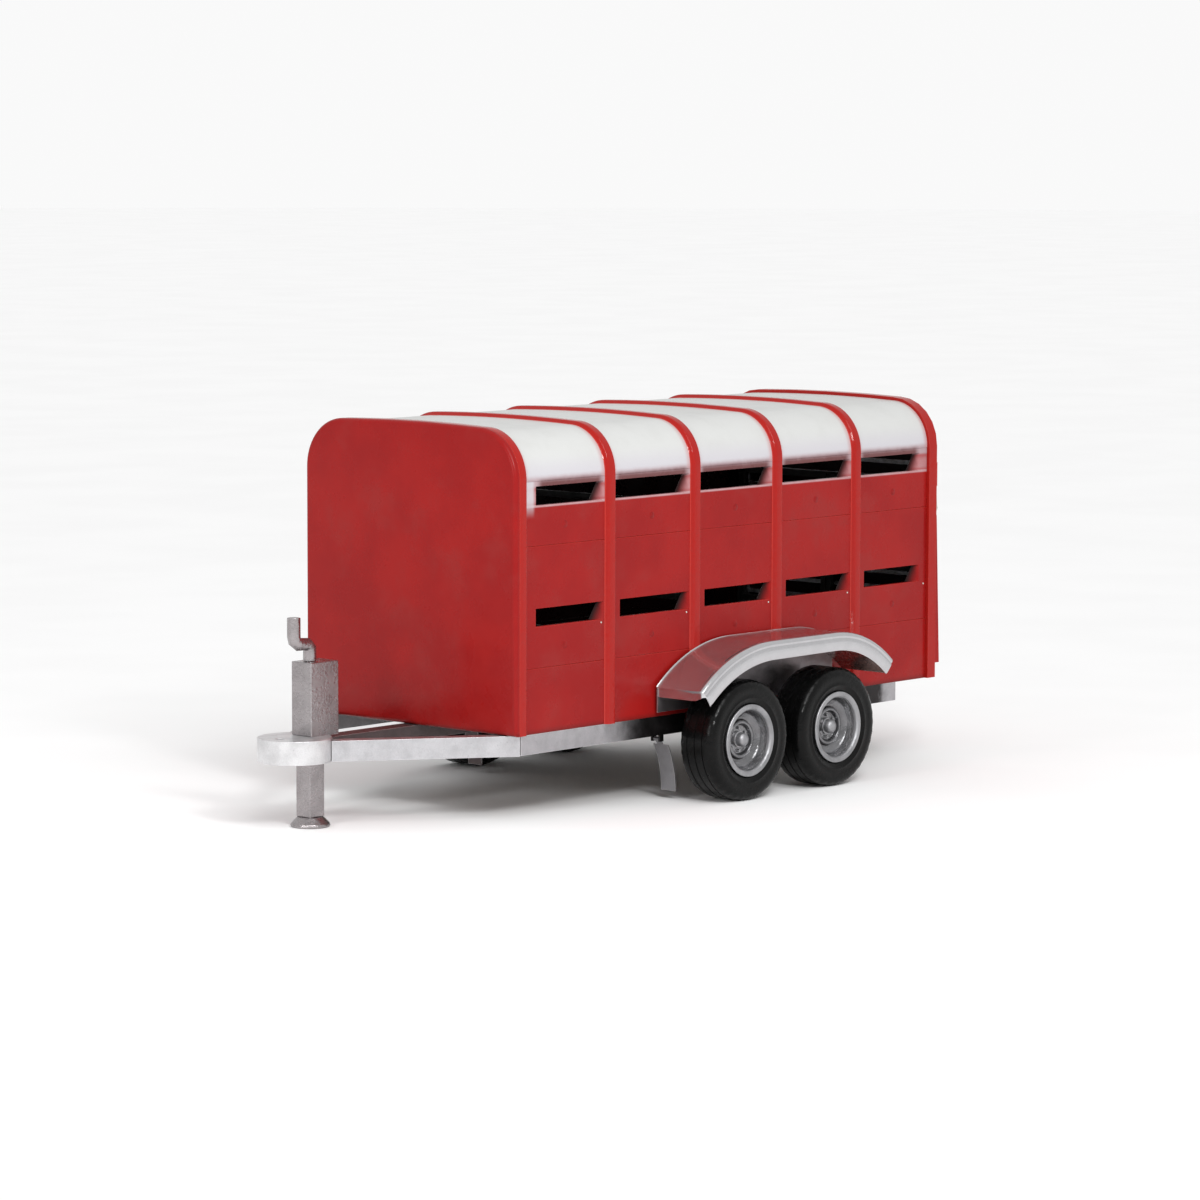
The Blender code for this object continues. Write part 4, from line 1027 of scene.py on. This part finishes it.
def wheels():
    """Each wheel's tyre, rim, hub and nuts."""
    for end in ("front", "rear"):
        for side, sign in SIDES:
            tag = f"{end}_{side}"
            low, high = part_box(f"tyre_{tag}")
            centre = (low + high) / 2
            axis = Vector((0, sign, 0))
            for name, make, slot, finish, replaced in (
                ("tyre_cover", tyre_mesh, "tyre", RUBBER, (f"tyre_{tag}",)),
                ("rim_barrel", rim_mesh, "rim_silver", RIM_SILVER, (f"rim_{tag}",)),
                ("rim_bowl", bowl_mesh, "rim_silver", BOWL_SILVER, ()),
                ("hub_cap", hub_mesh, "rim_silver", RIM_SILVER, (f"hub_{tag}",)),
            ):
                piece(make(f"{name}_{tag}", centre, axis), f"wheel_{tag}", finish, replaced)
            nuts = []
            for k in range(WHEEL_NUTS):
                a = 2 * math.pi * (k + 0.5) / WHEEL_NUTS
                place = Vector((NUT_CIRCLE * math.cos(a), sign * NUT_SEAT, NUT_CIRCLE * math.sin(a)))
                nuts.append(hexagon("nut", NUT_SIZE, centre + place, axis, a))
            piece(merge(f"wheel_nuts_{tag}", nuts, 30), f"wheel_{tag}", BOWL_SILVER)


def guard_line():
    """The mudguard's top line from front to rear, as (x, z)."""
    points = []
    for flat, radius, sign in zip(GUARD_FLAT, GUARD_RADII, (1, -1)):
        arc = []
        for k in range(GUARD_STEPS + 1):
            a = math.radians(GUARD_SWEEP * k / GUARD_STEPS)
            arc.append((FRONT - flat + sign * radius * math.sin(a), GUARD_TOP - radius * (1 - math.cos(a))))
        points += reversed(arc) if sign > 0 else arc
    return points


def folded(x, z, drop):
    """A point of the mudguard's line, carried down by a drop that leans towards one focus below."""
    pivot_x = FRONT - sum(AXLES_BACK) / 2
    fold = Vector((pivot_x - x, SKIRT_FOCUS - z)).normalized() * drop
    return x + fold.x, z + fold.y


def mudguards():
    """Folded sheets with a rolled outer edge, a skirt and a lip turned down at the front end."""
    line = guard_line()
    outer = GUARD_OUTER
    edge = GUARD_EDGE_RADIUS
    # Across the sheet: the distance from the middle plane, the drop below the line, the share of the lip
    steps = [(HALF + 0.0005, -0.004, 1.0), (HALF + 0.004, -0.001, 1.0), (HALF + 0.010, 0.0035, 1.0)]
    steps += [(HALF + 0.03, 0.004, 1.0), (outer - edge - 0.06, 0.004, 1.0)]
    steps += [(outer - edge - 0.030, 0.002, 0.95), (outer - edge - 0.012, 0.0, 0.85)]
    for k in range(8):
        a = math.radians(80 * k / 7)
        y = outer - edge + (edge - 0.003) * math.sin(a)
        steps.append((y, edge * (1 - math.cos(a)), 0.8 - 0.08 * k))
    steps += [(outer - 0.0065, 0.034, 0.14), (outer - 0.0065, 0.040, 0.12)]
    steps += [(outer - 0.0015, 0.046, 0.10), (outer, 0.052, 0.08), (outer, 0.085, 0.05)]
    steps += [(outer - 0.0015, GUARD_SKIRT - 0.012, 0.03), (outer - 0.006, GUARD_SKIRT, 0.02)]
    lip = [(0.0050, 1.0), (0.0045, 0.35), (0.0030, 0.14), (0.0005, 0.03)]
    for side, sign in SIDES:
        verts = []
        for y, drop, share in steps:
            row = [folded(x, z, drop) for x, z in line]
            x, z = row[0]
            row = [(x - back * share, z - GUARD_LIP * down * share) for back, down in lip] + row
            verts += [(x, sign * y, z) for x, z in row]
        mesh = mesh_from(f"mudguard_sheet_{side}", verts, grid_faces(len(steps), len(row)))
        with editing(mesh) as bm:
            if sum(f.normal.z * f.calc_area() for f in bm.faces) < 0:
                bmesh.ops.reverse_faces(bm, faces=bm.faces)
        mesh.shade_smooth()
        obj = piece(mesh, "root", GUARD_SILVER, (f"mudguard_{side}",))
        sheet = obj.modifiers.new("sheet", "SOLIDIFY")
        sheet.thickness = GUARD_SHEET
        sheet.offset = -1.0
        add_bevel(obj, 0.0025, 2, 50)
        arch_liner(side, sign, line)
        inner_skin(side, sign, line)


def inner_skin(side, sign, line):
    """The inner skin of the mudguard's rear half, which closes it from below behind its skirt; its dark
    red-brown is painted shade with a painted reflection of the red body.
    """
    line = [(x, z) for x, z in line if x < FRONT - INNER_SKIN_START]
    verts = []
    for drop in (GUARD_SKIRT - 0.014, GUARD_SKIRT - 0.006):
        for y in (HALF + 0.010, GUARD_OUTER - GUARD_SHEET - 0.001):
            for x, z in (folded(*point, drop) for point in line):
                verts.append((x, sign * y, z))
    count = len(line)
    rings = [0, 1, 3, 2]
    faces = []
    for a, b in zip(rings, rings[1:] + rings[:1]):
        for k in range(count - 1):
            faces.append((a * count + k, a * count + k + 1, b * count + k + 1, b * count + k))
    faces += [tuple(r * count for r in rings), tuple(r * count + count - 1 for r in rings)]
    skin = mesh_from(f"mudguard_inner_skin_{side}", verts, faces, 40)
    # Dark red-brown: painted shade with a painted reflection of the red body.
    piece(skin, "root", SKIN_SHADE_REFLECTION)


def arch_liner(side, sign, line):
    """The sheet flat against the body, below the mudguard."""
    rear = FRONT - LINER_REAR
    outline = [(x, z - 0.010) for x, z in line if x > rear + 0.04]
    outline += [(rear + 0.012, 0.850), (rear, 0.815), (rear, 0.700), (rear + 0.056, LINER_BOTTOM)]
    outline.append((line[0][0], LINER_BOTTOM))
    count = len(outline)
    verts = [(x, sign * y, z) for y in (HALF + SEAM_GAP, HALF + 0.0085) for x, z in outline]
    faces = [tuple(range(count)), tuple(range(2 * count - 1, count - 1, -1))]
    faces += [(k, (k + 1) % count, count + (k + 1) % count, count + k) for k in range(count)]
    liner = mesh_from(f"arch_liner_{side}", verts, faces, 30)
    piece(liner, "root", LINER_SILVER)


# Other members

def members():
    """The CAD nodes whose shape is kept, with rounded edges."""
    for side, _ in SIDES:
        soften(f"chassis_rail_{side}", 0.006, RAIL_SILVER)
        soften(f"drawbar_arm_{side}", 0.008, ARM_SILVER)
        soften(f"pivot_bracket_{side}", 0.004, BLACK)
        soften(f"rocker_beam_{side}", 0.005, BLACK)
        soften(f"prop_stand_{side}", 0.0025, STAND_SILVER if side == "left" else SHADED_SILVER)
        soften(f"rear_gate_{side}", 0.004, BLACK)
        soften(f"ramp_latch_{side}", 0.002, ZINC)
        soften(f"rear_lamp_{side}", 0.006, LAMP)
    for name in ("front", "axle", "rear"):
        soften(f"cross_member_{name}", 0.005, SHADED_SILVER)
    soften("drawbar_spine", 0.007, SHADED_SILVER)
    soften("drawbar_head", 0.012, DISC_SILVER, 4, 40)
    soften("jack_housing", 0.012, JACK_SILVER, 4)
    soften("jack_leg", 0.016, JACK_SILVER, 4)
    soften("jack_foot", 0.003, JACK_SILVER)
    soften("jack_crank", 0.005, JACK_SILVER, 3, 50)
    soften("jack_screw", 0.001, ZINC, 2)
    soften("floor_deck", 0.002, DECK, 2)
    soften("rear_sill", 0.004, RED)
    soften("ramp_panel", 0.006, RED)
    soften("ramp_battens", 0.003, GALVANISED)
    soften("divider_gate", 0.004, BLACK)


# Studio

def studio():
    """Soft light all round, a broad key from the left and above, and a pale floor with a backdrop."""
    scene = bpy.context.scene
    scene.view_settings.view_transform = "Standard"
    world = bpy.data.worlds.new("studio")
    scene.world = world
    world.use_nodes = True
    background = world.node_tree.nodes["Background"]
    background.inputs["Color"].default_value = rgb(1.0, 1.0, 1.0)
    background.inputs["Strength"].default_value = SKY_STRENGTH

    bm = bmesh.new()
    bmesh.ops.create_grid(bm, x_segments=1, y_segments=1, size=BACKDROP_RADIUS * 0.9)
    floor = stage_piece("floor", bm, floor_finish())
    floor.location.z = CAD_BOX[0].z - FLOOR_GAP
    bm = bmesh.new()
    bmesh.ops.create_icosphere(bm, subdivisions=4, radius=BACKDROP_RADIUS)
    backdrop = stage_piece("backdrop", bm, backdrop_finish())
    for ray in ("diffuse", "glossy", "transmission", "volume_scatter", "shadow"):
        setattr(backdrop, f"visible_{ray}", False)

    key = bpy.data.lights.new("key", "SUN")
    key.energy = KEY_STRENGTH
    key.angle = math.radians(KEY_ANGLE)
    add_light(key, KEY_FROM, (0.0, 0.0, 0.0))
    for name, place, size, watts in SOFTBOXES:
        light = bpy.data.lights.new(name, "AREA")
        light.shape = "DISK"
        light.size = size
        light.energy = watts
        add_light(light, place, (0.0, 0.0, 1.0))


def stage_piece(name, bm, material):
    """An object that isn't part of the trailer."""
    mesh = finished(bm, name)
    mesh.materials.append(material)
    obj = bpy.data.objects.new(name, mesh)
    bpy.context.scene.collection.objects.link(obj)
    return obj


def add_light(light, place, target):
    lamp = bpy.data.objects.new(light.name, light)
    bpy.context.scene.collection.objects.link(lamp)
    lamp.location = place
    lamp.rotation_euler = (Vector(target) - Vector(place)).to_track_quat("-Z", "Y").to_euler()


def camera():
    """A long lens at the photo's angle, turned by a heading from +X, a pitch and a roll."""
    data = bpy.data.cameras.new("view")
    data.sensor_width = SENSOR_MM
    data.lens = LENS_MM
    data.clip_end = 400.0
    obj = bpy.data.objects.new("view", data)
    bpy.context.scene.collection.objects.link(obj)
    turn = Matrix.Rotation(math.radians(CAMERA_HEADING - 90), 4, "Z")
    tilt = Matrix.Rotation(math.radians(90 + CAMERA_PITCH), 4, "X")
    spin = Matrix.Rotation(math.radians(CAMERA_ROLL), 4, "Z")
    obj.matrix_world = Matrix.Translation(CAMERA_PLACE) @ turn @ tilt @ spin
    bpy.context.scene.camera = obj


camera()
studio()
body()
fixings()
ramp_details()
wheels()
mudguards()
members()
